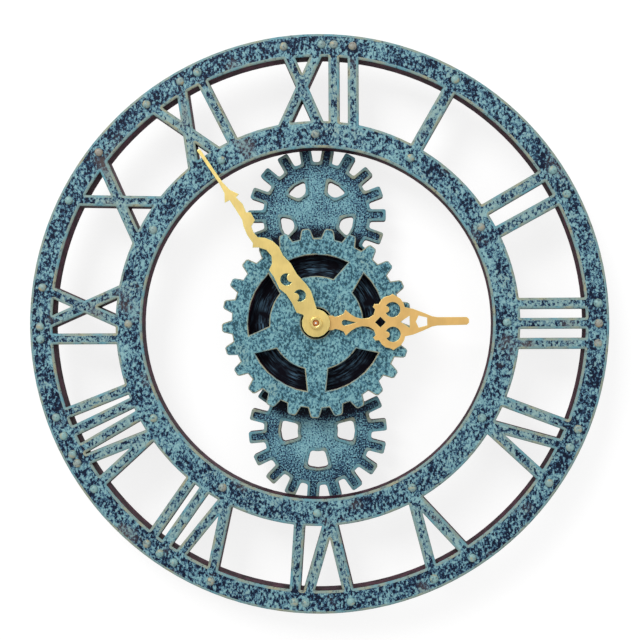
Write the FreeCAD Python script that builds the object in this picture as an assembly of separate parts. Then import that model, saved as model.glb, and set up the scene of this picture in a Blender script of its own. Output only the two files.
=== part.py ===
import FreeCAD, Part
import math
import os

os.makedirs("parts", exist_ok=True)

# Round skeleton wall clock in millimetres.
# The drawing plane is the dial: x to the right, y up, and the depth grows from the wall to the viewer.
# The origin is the hand axis on the wall plane.
# Each piece is turned at the end, so that up is +Z and the front faces -Y.

# Dial board
dial_diameter = 300.0
outer_rim_width = 11.9
numeral_height = 33.3
inner_rim_width = 13.9
dial_thickness = 10.0
stroke_width = 5.7
rivet_diameter = 4.6
rivet_height = 1.5
outer_rivet_inset = 5.5
inner_rivet_inset = 6.8

# Centre gear
center_gear_diameter = 98.0
center_gear_tooth_height = 5.2
center_gear_tooth_root = 7.4
center_gear_tooth_tip = 4.9
center_gear_thickness = 8.0
center_gear_hole = 16.0
center_window_inner_radius = 24.4
tooth_corner = 0.9

# Small gears behind the centre gear and the dial board
small_gear_inner_edge = 20.4
small_gear_lap = 2.3
small_gear_thickness = 6.0
raised_rim_width = 1.4
raised_rim_height = 1.0

# Backing disc and the screws that join the boards from behind
backing_disc_thickness = 3.0
frame_screw_diameter = 2.8
frame_screw_head_diameter = 5.6
frame_screw_head_height = 2.0
frame_screw_bite = 5.0
frame_screw_clearance = 4.6
frame_screw_web = 2.25
frame_screw_edge = 2.35
hole_clearance = 0.05

# Hands
hour_hand_length = 78.3
minute_hand_length = 108.3
minute_hub_diameter = 14.5
hour_boss_diameter = 12.6
hand_thickness = 0.6
hour_hand_gap = 1.2
minute_hand_gap = 1.2
hand_nut_diameter = 6.3
hand_nut_height = 1.6
hand_nut_chamfer = 0.4
minute_thread_diameter = 2.8
thread_end = 0.3

# Movement housing
movement_size = 56.0
movement_depth = 16.0
movement_corner = 1.2
case_wall = 1.4
cover_thickness = 1.0
board_relief = 0.3
stem_diameter = 8.0
stem_bore = 5.2
stem_length = 7.4
gasket_diameter = 18.0
gasket_thickness = 1.0
washer_diameter = 13.0
washer_thickness = 0.5
shaft_nut_flats = 11.0
shaft_nut_height = 2.0
hanger_width = 22.0
hanger_rise = 12.0
hanger_thickness = 2.5
hanger_hole_diameter = 7.0
hanger_hole_rise = 5.6

# Battery and its contacts
battery_diameter = 14.5
battery_length = 50.5
battery_nub_diameter = 5.5
battery_nub_length = 1.0
battery_clearance = 0.25
contact_thickness = 0.4
contact_width = 8.0
contact_gap = 0.05
strip_width = 3.0
strip_level = 1.6

# Depth of each layer inside the housing, measured from the wall
second_wheel_level = 3.0
step_wheel_level = 4.2
third_wheel_level = 5.8
center_wheel_level = 7.4
middle_plate_level = 9.6
minute_wheel_level = 11.0
hour_wheel_level = 12.8
wheel_thickness = 0.8
middle_plate_thickness = 1.0

# Wheels: modules of the pairs, and how far a pinion stands past the wheel that it drives
rotor_module = 0.35
step_module = 0.47
second_module = 0.36
motion_module = 0.5
pinion_overhang = 0.3
bearing_gap = 0.05
end_shake = 0.15
train_arbor_radius = 0.4
second_arbor_radius = 0.5
minute_arbor_radius = 1.6
hour_tube_radius = 2.5
setting_arbor_radius = 0.6
pivot_depth = 0.8

# Setting knob at the back
knob_diameter = 9.2
knob_thickness = 1.5
knob_recess_depth = 1.8
knob_gap = 0.4
knob_grip_depth = 0.3
recess_floor = 0.8

# Stepping motor and electronics
rotor_magnet_diameter = 6.0
rotor_magnet_height = 2.0
rotor_magnet_level = 6.2
stator_level = 6.8
stator_thickness = 0.8
stator_gap = 0.5
stator_left = -8.0
stator_right = 17.0
stator_bar = 7.4
stator_leg = 3.4
core_width = 2.4
core_height_from_axis = 23.2
bobbin_radius = 1.7
bobbin_flange_radius = 3.1
bobbin_flange = 0.8
winding_radius = 2.8
peg_radius = 1.5
board_left = 20.7
board_length = 27.0
board_width = 5.4
board_level = 3.2
board_thickness = 0.8
chip_radius = 2.1
chip_height = 0.9
crystal_radius = 1.0
crystal_length = 6.0
crystal_rise = 19.5

# How far a cutting shape runs past the face that it cuts
overrun = 1.0

# Angles in degrees
FULL_TURN = 360.0
QUARTER_TURN = 90.0
HOUR_STEP = 30.0
HOUR_HAND_ANGLE = 0.6
MINUTE_HAND_ANGLE = 123.9
CENTER_GEAR_PHASE = 9.8
LOWER_GEAR_PHASE = 5.5
THIRD_ARBOR_ANGLE = 150.0
STEP_ARBOR_ANGLE = 75.0
ROTOR_ARBOR_ANGLE = 60.0
SETTING_ARBOR_ANGLE = 10.0
FRAME_SCREW_ANGLE = 18.5

# Counts
CENTER_GEAR_TEETH = 25
SMALL_GEAR_TEETH = 18
CENTER_WINDOWS = 5
UPPER_WINDOWS = 5
LOWER_WINDOWS = 4
ROTOR_LEAVES = 6
STEP_TEETH = 30
STEP_LEAVES = 6
SECOND_TEETH = 36
SECOND_LEAVES = 6
THIRD_TEETH = 48
THIRD_LEAVES = 6
CENTER_TEETH = 45
CANNON_LEAVES = 10
MINUTE_TEETH = 30
MINUTE_LEAVES = 8
HOUR_TEETH = 32
KNOB_GRIPS = 14

# Sides of the shaft nut and of the small round pieces, fewer on studs and pins than on wider ones
NUT_SIDES = 6
STUD_SIDES = 8
PIN_SIDES = 10
ROUND_SIDES = 16
DISC_SIDES = 36

# Straight steps along each curved side of a window
CENTER_WINDOW_STEPS = 6
SMALL_WINDOW_STEPS = 2

# Half spans of the windows, in degrees at their inner and outer radius
CENTER_WINDOW_SPANS = (21.5, 28.0)
UPPER_WINDOW_SPANS = (11.0, 17.3)
LOWER_WINDOW_SPANS = (16.0, 15.0)

# Small gears, as shares of their radius: height and width of a tooth, inner and outer side of the windows
SMALL_TOOTH_SHARES = (0.2253, 0.1703)
SMALL_WINDOW_SHARES = (0.3571, 0.5385)

# Strokes of each numeral as shares of the numeral height.
# A pair holds the stroke's foot on the inner rim and its head on the outer rim,
# both measured clockwise from the line of the hour.
NUMERAL_SHARES = {
    12: ((0.03, -0.41), (-0.46, 0.01), (0.29, 0.29), (0.59, 0.59)),
    1: ((0.0, 0.0),),
    2: ((-0.20, -0.20), (0.20, 0.225)),
    3: ((-0.29, -0.29), (0.02, 0.02), (0.33, 0.33)),
    4: ((-0.39, -0.555), (0.03, -0.23), (0.09, 0.315)),
    5: ((0.02, -0.21), (0.09, 0.365)),
    6: ((-0.235, -0.475), (-0.165, 0.13), (0.28, 0.35)),
    7: ((-0.185, -0.505), (-0.115, 0.05), (0.23, 0.325), (0.49, 0.58)),
    8: ((-0.225, -0.445), (-0.185, -0.035), (0.155, 0.155), (0.38, 0.46), (0.615, 0.765)),
    9: ((-0.23, -0.23), (0.05, 0.50), (0.49, 0.05)),
    10: ((-0.22, 0.50), (0.395, -0.15)),
    11: ((-0.015, -0.485), (-0.405, -0.01), (0.305, 0.36)),
}
# Single and double strokes are cut a little wider
WIDE_STROKE_SHARES = {1: 1.22, 2: 1.12}

# Half outline of the hour hand from hub to tip, as shares of its length along and across
HOUR_HAND_SHARES = (
    (0.060, 0.048), (0.110, 0.048), (0.125, 0.040), (0.152, 0.046), (0.180, 0.058), (0.194, 0.086),
    (0.229, 0.054), (0.263, 0.034), (0.303, 0.025), (0.345, 0.029), (0.378, 0.050), (0.388, 0.085),
    (0.373, 0.100), (0.385, 0.120), (0.412, 0.119), (0.428, 0.146), (0.453, 0.166), (0.485, 0.173),
    (0.503, 0.185), (0.522, 0.173), (0.556, 0.152), (0.576, 0.121), (0.582, 0.096), (0.636, 0.085),
    (0.700, 0.060), (0.760, 0.034), (0.794, 0.028), (0.985, 0.026), (1.0, 0.012),
)
# Holes of the hour hand: centre along and across, and radius or half width
TEARDROP_SHARES = (0.188, 0.0, 0.019, 0.264)
DIAMOND_SHARES = (0.422, 0.035)
WING_HOLE_SHARES = (0.503, 0.081, 0.050)
WING_LOBE_SHARES = (0.460, 0.083, 0.022)
TRIANGLE_SHARES = ((0.554, 0.0), (0.613, 0.039), (0.613, -0.039))
PENTAGON_SHARES = ((0.654, 0.0), (0.672, 0.039), (0.727, 0.025), (0.727, -0.025), (0.672, -0.039))

# The two sides of the minute hand from hub to tip, as shares of its length along and across
MINUTE_CLOCKWISE_SHARES = (
    (0.050, -0.040), (0.084, -0.050), (0.139, -0.066), (0.176, -0.066), (0.207, -0.061), (0.243, -0.056),
    (0.303, -0.060), (0.354, -0.051), (0.397, -0.058), (0.437, -0.049), (0.470, -0.028), (0.493, 0.0),
    (0.524, 0.003), (0.553, -0.004), (0.567, -0.035), (0.610, -0.039), (0.622, -0.021), (0.665, -0.030),
    (0.708, -0.021), (0.713, -0.041), (0.755, -0.017), (0.804, -0.0085), (0.995, -0.0085), (1.0, 0.0),
)
MINUTE_OTHER_SHARES = (
    (0.050, 0.030), (0.067, 0.028), (0.092, 0.048), (0.146, 0.040), (0.194, 0.040), (0.232, 0.052),
    (0.295, 0.042), (0.333, 0.043), (0.351, 0.014), (0.382, -0.004), (0.419, 0.0), (0.450, 0.024),
    (0.466, 0.048), (0.482, 0.035), (0.528, 0.036), (0.574, 0.027), (0.603, 0.015), (0.665, 0.013),
    (0.714, 0.012), (0.717, 0.038), (0.755, 0.014), (0.804, 0.0085), (0.995, 0.0085),
)
# Crescent holes of the minute hand: the hole and the disc that stays, each as centre and radius
MINUTE_CRESCENT_SHARES = (
    ((0.250, 0.0, 0.029), (0.244, -0.024, 0.021)),
    ((0.151, -0.010, 0.029), (0.158, 0.014, 0.021)),
)

# Pointed teeth of the inner wheels and pinions: how far they reach above and below the pitch line,
# as shares of the module, and how wide a leaf is at its root, as a share of the tooth pitch
WHEEL_HEIGHT_SHARES = (0.95, 1.25)
PINION_ROOT_SHARE = 0.50
PINION_HEIGHT_SHARES = (0.75, 1.30)

# Shoulder of a domed stud, as shares of its radius and its height
STUD_SHOULDER_SHARES = (0.74, 0.64)

# Sizes that follow from the ones above
dial_radius = dial_diameter / 2
window_outer_radius = dial_radius - outer_rim_width
window_inner_radius = window_outer_radius - numeral_height
bore_radius = window_inner_radius - inner_rim_width
outer_rivet_radius = dial_radius - outer_rivet_inset
inner_rivet_radius = window_inner_radius - inner_rivet_inset

small_gear_outer_edge = bore_radius + small_gear_lap
small_gear_radius = (small_gear_outer_edge - small_gear_inner_edge) / 2
small_gear_offset = (small_gear_outer_edge + small_gear_inner_edge) / 2
small_gear_tooth_height = small_gear_radius * SMALL_TOOTH_SHARES[0]
small_gear_tooth_width = small_gear_radius * SMALL_TOOTH_SHARES[1]
small_window_inner_radius = small_gear_radius * SMALL_WINDOW_SHARES[0]
small_window_outer_radius = small_gear_radius * SMALL_WINDOW_SHARES[1]

frame_screw_rise = movement_size / 2 + board_relief + frame_screw_head_diameter / 2 + frame_screw_clearance
frame_screw_radius = frame_screw_rise / math.cos(math.radians(FRAME_SCREW_ANGLE))
center_window_outer_radius = frame_screw_radius - frame_screw_web
backing_disc_radius = frame_screw_radius + frame_screw_edge

board_back = movement_depth + gasket_thickness
dial_front = board_back + dial_thickness
small_gear_back = board_back - small_gear_thickness
center_gear_back = board_back + backing_disc_thickness
center_gear_front = center_gear_back + center_gear_thickness
hour_hand_back = center_gear_front + hour_hand_gap
minute_hand_back = hour_hand_back + hand_thickness + minute_hand_gap
minute_hand_front = minute_hand_back + hand_thickness
hand_nut_front = minute_hand_front + hand_nut_height

room_half = movement_size / 2 - case_wall
cover_back = movement_depth - cover_thickness
battery_axis_height = -(room_half - battery_clearance - battery_diameter / 2)
battery_axis_depth = cover_back - battery_clearance - battery_diameter / 2
bay_top = battery_axis_height + battery_diameter / 2 + battery_clearance
gear_room_bottom = bay_top + case_wall
board_bottom = gear_room_bottom + contact_thickness
second_third_distance = second_module * (SECOND_LEAVES + THIRD_TEETH) / 2
third_module = 2 * second_third_distance / (THIRD_LEAVES + CENTER_TEETH)
step_second_distance = step_module * (STEP_LEAVES + SECOND_TEETH) / 2
rotor_step_distance = rotor_module * (ROTOR_LEAVES + STEP_TEETH) / 2
motion_distance = motion_module * (CANNON_LEAVES + MINUTE_TEETH) / 2
knob_recess_radius = knob_diameter / 2 + knob_gap


def polar(radius, angle, center=(0, 0)):
    """Point at a radius and an angle about a centre in the dial plane."""
    turn = math.radians(angle)
    return FreeCAD.Vector(center[0] + radius * math.cos(turn), center[1] + radius * math.sin(turn), 0)


def circle_face(radius, center=(0, 0)):
    """Flat disc in the dial plane."""
    edge = Part.makeCircle(radius, FreeCAD.Vector(center[0], center[1], 0))
    return Part.Face(Part.Wire(edge))


def polygon_face(points):
    """Flat face inside a closed row of points."""
    return Part.Face(Part.makePolygon(list(points) + [points[0]]))


def rectangle_face(left, bottom, right, top):
    """Flat rectangle in the dial plane."""
    corners = ((left, bottom), (right, bottom), (right, top), (left, top))
    return polygon_face([FreeCAD.Vector(x, y, 0) for x, y in corners])


def sector_face(inner_radius, outer_radius, inner_span, outer_span, middle_angle, steps):
    """Window between two curved sides about the origin, each in even steps."""
    ways = [2 * step / steps - 1 for step in range(steps + 1)]
    outer = [polar(outer_radius, middle_angle + way * outer_span) for way in ways]
    inner = [polar(inner_radius, middle_angle + way * inner_span) for way in ways]
    return polygon_face(outer + inner[::-1])


def moved(shape, x=0, y=0, z=0):
    """Copy of a shape at another place."""
    result = shape.copy()
    result.translate(FreeCAD.Vector(x, y, z))
    return result


def turned(shape, angle, center=(0, 0)):
    """Copy of a shape turned about an axis that is square to the dial."""
    result = shape.copy()
    result.rotate(FreeCAD.Vector(center[0], center[1], 0), FreeCAD.Vector(0, 0, 1), angle)
    return result


def raised(face, back, front):
    """Solid plate with the outline of a face, between two depths."""
    return moved(face, 0, 0, back).extrude(FreeCAD.Vector(0, 0, front - back))


def cylinder(radius, back, front, center=(0, 0)):
    """Round bar square to the dial."""
    return Part.makeCylinder(radius, front - back, FreeCAD.Vector(center[0], center[1], back))


def sided_face(radius, sides, center=(0, 0)):
    """Even-sided outline with its corners on a circle."""
    return polygon_face([polar(radius, index * FULL_TURN / sides, center) for index in range(sides)])


def bar(radius, back, front, center=(0, 0), sides=ROUND_SIDES):
    """Small round bar square to the dial, with its corners on its radius."""
    return raised(sided_face(radius, sides, center), back, front)


def bore(radius, back, front, center=(0, 0), sides=ROUND_SIDES):
    """Cut for a small round hole, with the middle of its sides on its radius."""
    return bar(radius / math.cos(math.pi / sides), back, front, center, sides)


def lying_bar(radius, start, direction, length, sides=ROUND_SIDES):
    """Small round bar that lies along a direction in the dial plane."""
    lying = sided_face(radius, sides).extrude(FreeCAD.Vector(0, 0, length))
    lying.Placement = FreeCAD.Placement(start, FreeCAD.Rotation(FreeCAD.Vector(0, 0, 1), direction))
    return lying


def box(left, bottom, right, top, back, front):
    """Rectangular block between two depths."""
    origin = FreeCAD.Vector(left, bottom, back)
    return Part.makeBox(right - left, top - bottom, front - back, origin)


def joined(shapes):
    """One solid out of shapes that meet or overlap."""
    result = shapes[0].multiFuse(shapes[1:])
    return result.removeSplitter()


def save(name, shapes):
    """Turn the pieces of a node upright and write them as one STEP file."""
    whole = shapes[0] if len(shapes) == 1 else Part.makeCompound(shapes)
    upright = whole.copy()
    upright.rotate(FreeCAD.Vector(0, 0, 0), FreeCAD.Vector(1, 0, 0), QUARTER_TURN)
    upright.exportStep(os.path.join("parts", name + ".step"))
    solids = upright.Solids
    volume = sum(solid.Volume for solid in solids)
    print(name, "solids", len(solids), "valid", upright.isValid(), "volume", round(volume, 1))


# Dial board with its numerals and rivets


def stroke_point(hour, height, side):
    """Point of a numeral: height above the inner rim, side clockwise from the hour's line."""
    angle = QUARTER_TURN - hour * HOUR_STEP
    along = polar(window_inner_radius + height, angle)
    across = polar(side, angle - QUARTER_TURN)
    return along + across


def stroke_ends(hour, foot_share, head_share, reach):
    """Centre line of a stroke from below its foot to past its head."""
    foot = foot_share * numeral_height
    head = head_share * numeral_height
    slope = (head - foot) / numeral_height
    start = stroke_point(hour, -reach, foot - slope * reach)
    end = stroke_point(hour, numeral_height + reach, head + slope * reach)
    return start, end


def stroke_face(hour, foot_share, head_share):
    """Bar of one numeral stroke, sunk into both rims."""
    start, end = stroke_ends(hour, foot_share, head_share, outer_rivet_inset)
    direction = (end - start).normalize()
    width = stroke_width * WIDE_STROKE_SHARES.get(hour, 1)
    side = FreeCAD.Vector(-direction.y, direction.x, 0) * (width / 2)
    return polygon_face([start - side, end - side, end + side, start + side])


def window_faces():
    """Openings between the two rims and the numeral strokes."""
    band = circle_face(window_outer_radius).cut(circle_face(window_inner_radius))
    strokes = []
    for hour, pairs in NUMERAL_SHARES.items():
        for foot_share, head_share in pairs:
            strokes.append(stroke_face(hour, foot_share, head_share))
    smallest = (stroke_width / 2) ** 2
    return [face for face in band.cut(strokes).Faces if face.Area > smallest]


def dial_ring():
    """Board with both rims and all numerals."""
    outline = circle_face(dial_radius).cut(circle_face(bore_radius))
    return raised(outline.cut(window_faces()), board_back, dial_front)


def dome(radius, height, back, x, y):
    """Small dome on a face: foot, shoulder and top."""
    step = FULL_TURN / STUD_SIDES
    low = [polar(radius, index * step, (x, y)) for index in range(STUD_SIDES)]
    high = [polar(radius * STUD_SHOULDER_SHARES[0], index * step, (x, y)) for index in range(STUD_SIDES)]
    low = [point + FreeCAD.Vector(0, 0, back) for point in low]
    high = [point + FreeCAD.Vector(0, 0, back + height * STUD_SHOULDER_SHARES[1]) for point in high]
    top = FreeCAD.Vector(x, y, back + height)
    faces = [polygon_face(low)]
    for index in range(STUD_SIDES):
        faces.append(polygon_face([low[index - 1], low[index], high[index], high[index - 1]]))
        faces.append(polygon_face([high[index - 1], high[index], top]))
    return Part.makeSolid(Part.makeShell(faces))


def rivet(place):
    """Domed stud on the face of the dial board."""
    return dome(rivet_diameter / 2, rivet_height, dial_front, place.x, place.y)


def outer_rivets():
    """A stud on the outer rim in line with each numeral stroke."""
    studs = []
    for hour, pairs in NUMERAL_SHARES.items():
        for foot_share, head_share in pairs:
            reach = outer_rivet_radius - window_outer_radius
            place = stroke_ends(hour, foot_share, head_share, reach)[1]
            studs.append(rivet(place * (outer_rivet_radius / place.Length)))
    return studs


def inner_rivets():
    """A stud on the inner rim at each hour."""
    return [rivet(polar(inner_rivet_radius, QUARTER_TURN - hour * HOUR_STEP)) for hour in NUMERAL_SHARES]


# Decorative gears, backing disc and frame screws


def board_gear_face(tip_radius, tooth_height, root_width, tip_width, teeth, phase, corner=0):
    """Outline of a decorative gear with straight teeth, their tips broken where a corner is given."""
    root_radius = tip_radius - tooth_height
    half_tip = tip_width / 2
    side = [(root_radius, root_width / 2), (tip_radius - corner, half_tip)]
    if corner:
        side.append((tip_radius, half_tip - corner))
    tooth = [FreeCAD.Vector(x, -y, 0) for x, y in side] + [FreeCAD.Vector(x, y, 0) for x, y in reversed(side)]
    points = []
    for index in range(teeth):
        turn = FreeCAD.Rotation(FreeCAD.Vector(0, 0, 1), phase + index * FULL_TURN / teeth)
        points.extend(turn.multVec(point) for point in tooth)
    return polygon_face(points)


def frame_screw_places():
    """Centres of the two screws, one behind each small gear and both outside the windows of the centre gear."""
    return [tuple(polar(frame_screw_radius, side * QUARTER_TURN - FRAME_SCREW_ANGLE))[:2] for side in (-1, 1)]


def frame_screw_holes():
    """Bars that drill every board for the screws."""
    radius = frame_screw_diameter / 2 + hole_clearance
    front = center_gear_back + frame_screw_bite
    return [bore(radius, small_gear_back - overrun, front, place, PIN_SIDES) for place in frame_screw_places()]


def frame_screws():
    """Pan-head screws from behind the small gears into the centre gear."""
    screws = []
    for place in frame_screw_places():
        shank = bar(frame_screw_diameter / 2, small_gear_back, center_gear_back + frame_screw_bite, place, PIN_SIDES)
        head_back = small_gear_back - frame_screw_head_height
        head = bar(frame_screw_head_diameter / 2, head_back, small_gear_back, place)
        screws.append(joined([shank, head]))
    return screws


def center_gear():
    """Large gear with five windows and the round hole for the shaft nut."""
    outline = board_gear_face(center_gear_diameter / 2, center_gear_tooth_height, center_gear_tooth_root,
                              center_gear_tooth_tip, CENTER_GEAR_TEETH, CENTER_GEAR_PHASE, tooth_corner)
    holes = [circle_face(center_gear_hole / 2)]
    for index in range(CENTER_WINDOWS):
        middle = QUARTER_TURN + index * FULL_TURN / CENTER_WINDOWS
        holes.append(sector_face(center_window_inner_radius, center_window_outer_radius,
                                 CENTER_WINDOW_SPANS[0], CENTER_WINDOW_SPANS[1], middle, CENTER_WINDOW_STEPS))
    plate = raised(outline.cut(holes), center_gear_back, center_gear_front)
    return plate.cut(frame_screw_holes())


def small_window_face(spans, middle_angle, border):
    """Window of a small gear, or with a border the frame round it."""
    inner = small_window_inner_radius
    outer = small_window_outer_radius
    inner_span = spans[0] + math.degrees(border / inner)
    outer_span = spans[1] + math.degrees(border / outer)
    return sector_face(inner - border, outer + border, inner_span, outer_span, middle_angle, SMALL_WINDOW_STEPS)


def small_gear(side, phase, windows, spans):
    """Small gear with raised rims round its outline and its windows, above or below the centre."""
    place = side * small_gear_offset
    outline = board_gear_face(small_gear_radius, small_gear_tooth_height, small_gear_tooth_width,
                              small_gear_tooth_width, SMALL_GEAR_TEETH, phase)
    channel_width = small_gear_tooth_width - 2 * raised_rim_width
    field = board_gear_face(small_gear_radius - raised_rim_width, small_gear_tooth_height, channel_width,
                            channel_width, SMALL_GEAR_TEETH, phase)
    holes = []
    frames = []
    for index in range(windows):
        middle = -side * QUARTER_TURN + index * FULL_TURN / windows
        holes.append(small_window_face(spans, middle, 0))
        frames.append(small_window_face(spans, middle, raised_rim_width))
    plate = raised(outline.cut(holes), small_gear_back, board_back)
    field = field.cut(frames)
    field_floor = board_back - raised_rim_height
    plate = plate.cut(raised(field, field_floor, board_back + overrun))
    clear_half = movement_size / 2 + board_relief
    relief = box(-clear_half, -clear_half, clear_half, clear_half,
                 small_gear_back - overrun, board_back + overrun)
    under_disc = bar(backing_disc_radius, small_gear_back, board_back, (0, -place), DISC_SIDES)
    seat = bar(small_gear_radius - small_gear_tooth_height, small_gear_back, board_back, (0, 0), DISC_SIDES)
    windows_cut = [raised(hole, small_gear_back - overrun, board_back + overrun) for hole in holes]
    seat = seat.common(under_disc).cut(windows_cut)
    return moved(joined([plate, seat]), 0, place, 0).cut([relief] + frame_screw_holes())


def stem_hole(back, front):
    """Cut through a piece that sits on the threaded stem."""
    return bore(stem_diameter / 2 + hole_clearance, back - overrun, front + overrun)


def backing_disc():
    """Disc behind the windows of the centre gear, which carries the movement."""
    disc = bar(backing_disc_radius, board_back, center_gear_back, (0, 0), DISC_SIDES)
    return disc.cut([stem_hole(board_back, center_gear_back)] + frame_screw_holes())


# Hands


def share_face(shares, length):
    """Polygon given in shares of the hand's length."""
    return polygon_face([FreeCAD.Vector(along * length, across * length, 0) for along, across in shares])


def share_disc(shares, length):
    """Disc given by centre and radius in shares of the hand's length."""
    along, across, radius = shares
    return sided_face(radius * length, ROUND_SIDES, (along * length, across * length))


def hour_hand_holes():
    """Pierced openings of the hour hand."""
    length = hour_hand_length
    along, across, radius, point = TEARDROP_SHARES
    tail = share_face(((along, radius), (point, across), (along, -radius)), length)
    teardrop = joined([share_disc((along, across, radius), length), tail])
    middle, half = DIAMOND_SHARES
    diamond = share_face(((middle - half, 0), (middle, half), (middle + half, 0), (middle, -half)), length)
    holes = [teardrop, diamond, share_face(TRIANGLE_SHARES, length), share_face(PENTAGON_SHARES, length)]
    for side in (-1, 1):
        hole = share_disc((WING_HOLE_SHARES[0], side * WING_HOLE_SHARES[1], WING_HOLE_SHARES[2]), length)
        lobe = share_disc((WING_LOBE_SHARES[0], side * WING_LOBE_SHARES[1], WING_LOBE_SHARES[2]), length)
        holes.append(hole.cut(lobe))
    return holes


def hour_hand():
    """Pressed hour hand, pushed on the tube of the hour wheel."""
    clockwise_side = tuple((along, -across) for along, across in HOUR_HAND_SHARES)
    blade = share_face(clockwise_side + HOUR_HAND_SHARES[::-1], hour_hand_length)
    face = joined([blade, sided_face(hour_boss_diameter / 2, ROUND_SIDES)]).Faces[0]
    front = hour_hand_back + hand_thickness
    plate = turned(raised(face.cut(hour_hand_holes()), hour_hand_back, front), HOUR_HAND_ANGLE)
    return plate.cut(bar(hour_tube_radius, hour_hand_back, front))


def minute_hand():
    """Pressed minute hand with its round hub."""
    blade = share_face(MINUTE_CLOCKWISE_SHARES + MINUTE_OTHER_SHARES[::-1], minute_hand_length)
    face = joined([blade, sided_face(minute_hub_diameter / 2, ROUND_SIDES)]).Faces[0]
    holes = [share_disc(hole, minute_hand_length).cut(share_disc(kept, minute_hand_length))
             for hole, kept in MINUTE_CRESCENT_SHARES]
    plate = turned(raised(face.cut(holes), minute_hand_back, minute_hand_front), MINUTE_HAND_ANGLE)
    return plate.cut(bar(minute_thread_diameter / 2, minute_hand_back, minute_hand_front, (0, 0), PIN_SIDES))


def hand_nut():
    """Round nut that holds the minute hand."""
    nut = bar(hand_nut_diameter / 2, minute_hand_front, hand_nut_front)
    rim = [edge for edge in nut.Edges if edge.BoundBox.ZMin > hand_nut_front - hand_nut_chamfer]
    thread = bar(minute_thread_diameter / 2, minute_hand_front, hand_nut_front, (0, 0), PIN_SIDES)
    return nut.makeChamfer(hand_nut_chamfer, rim).cut(thread)


# Housing of the movement


def housing_face():
    """Square outline of the housing with its corners cut."""
    half = movement_size / 2
    short = half - movement_corner
    corners = ((half, short), (short, half), (-short, half), (-half, short),
               (-half, -short), (-short, -half), (short, -half), (half, -short))
    return polygon_face([FreeCAD.Vector(x, y, 0) for x, y in corners])


def third_place():
    """Arbor of the third wheel."""
    return tuple(polar(second_third_distance, THIRD_ARBOR_ANGLE))[:2]


def step_place():
    """Arbor of the step wheel."""
    return tuple(polar(step_second_distance, STEP_ARBOR_ANGLE))[:2]


def rotor_place():
    """Arbor of the rotor."""
    return tuple(polar(rotor_step_distance, ROTOR_ARBOR_ANGLE, step_place()))[:2]


def setting_place():
    """Arbor of the minute wheel and the setting knob."""
    return tuple(polar(motion_distance, SETTING_ARBOR_ANGLE))[:2]


def plate_peg_places():
    """Pegs that carry the middle plate."""
    left = -room_half + 4 * peg_radius
    right = board_left - 1.5 * peg_radius
    low = gear_room_bottom + 1.5 * peg_radius
    return [(left, low), (right, low), (left, step_second_distance + 2 * peg_radius),
            (right, step_second_distance - peg_radius)]


def stator_peg_places():
    """Pegs under the two ends of the coil core."""
    inset = stator_leg / 2
    return [(stator_left + inset, core_height_from_axis), (stator_right - inset, core_height_from_axis)]


def circuit_peg_places():
    """Pegs under the circuit board."""
    middle = board_left + board_width / 2
    return [(middle, board_bottom + 2 * peg_radius), (middle, board_bottom + board_length - 2 * peg_radius)]


def movement_case():
    """Rear half of the housing: gear room, battery bay, knob recess and hanger loop."""
    shell = raised(housing_face(), 0, cover_back)
    hanger_half = hanger_width / 2
    top = movement_size / 2
    hanger_face = joined([
        rectangle_face(-hanger_half, top - movement_corner, hanger_half, top + hanger_rise - hanger_half),
        sided_face(hanger_half, ROUND_SIDES, (0, top + hanger_rise - hanger_half)),
    ]).Faces[0]
    hanger = raised(hanger_face, 0, hanger_thickness)
    gear_room = box(-room_half, gear_room_bottom, room_half, room_half, case_wall, cover_back + overrun)
    battery_bay = box(-room_half, -room_half, room_half, bay_top, -overrun, cover_back + overrun)
    setting = setting_place()
    recess_front = knob_recess_depth + recess_floor
    solids = [joined([shell, hanger]).cut([gear_room, battery_bay])]
    solids.append(bar(knob_recess_radius + recess_floor, 0, recess_front, setting))
    for level, places in ((middle_plate_level, plate_peg_places()), (stator_level, stator_peg_places()),
                          (board_level, circuit_peg_places())):
        solids.extend(bar(peg_radius, 0, level, place, STUD_SIDES) for place in places)
    body = joined(solids)
    cuts = [bore(knob_recess_radius, -overrun, knob_recess_depth, setting)]
    cuts.append(bore(setting_arbor_radius + bearing_gap, 0, recess_front + overrun, setting, PIN_SIDES))
    cuts.append(cylinder(hanger_hole_diameter / 2, -overrun, hanger_thickness + overrun,
                         (0, top + hanger_hole_rise)))
    pivot_back = case_wall - pivot_depth
    for radius, place in ((second_arbor_radius, (0, 0)), (train_arbor_radius, third_place()),
                          (train_arbor_radius, step_place()), (train_arbor_radius, rotor_place())):
        cuts.append(bore(radius + bearing_gap, pivot_back, case_wall + overrun, place, PIN_SIDES))
    slot_back = strip_level - contact_gap
    slot_front = strip_level + strip_width + contact_gap
    slot_depth = 2 * contact_thickness
    for side in (-1, 1):
        edges = sorted((side * (room_half - slot_depth), side * room_half))
        cuts.append(box(edges[0], bay_top - overrun, edges[1], gear_room_bottom + overrun, slot_back, slot_front))
    return body.cut(cuts)


def movement_cover():
    """Front half of the housing with the threaded stem."""
    plate = raised(housing_face(), cover_back, movement_depth)
    stem_front = movement_depth + stem_length
    body = joined([plate, bar(stem_diameter / 2, cover_back, stem_front)])
    return body.cut(bore(stem_bore / 2, cover_back - overrun, stem_front + overrun))


def rubber_gasket():
    """Soft ring between the cover and the backing disc."""
    return bar(gasket_diameter / 2, movement_depth, board_back).cut(stem_hole(movement_depth, board_back))


def shaft_washer():
    """Flat brass washer under the shaft nut."""
    front = center_gear_back + washer_thickness
    return bar(washer_diameter / 2, center_gear_back, front).cut(stem_hole(center_gear_back, front))


def shaft_nut():
    """Six-sided brass nut on the stem."""
    back = center_gear_back + washer_thickness
    front = back + shaft_nut_height
    radius = shaft_nut_flats / 2 / math.cos(math.pi / NUT_SIDES)
    return raised(sided_face(radius, NUT_SIDES), back, front).cut(stem_hole(back, front))


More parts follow.
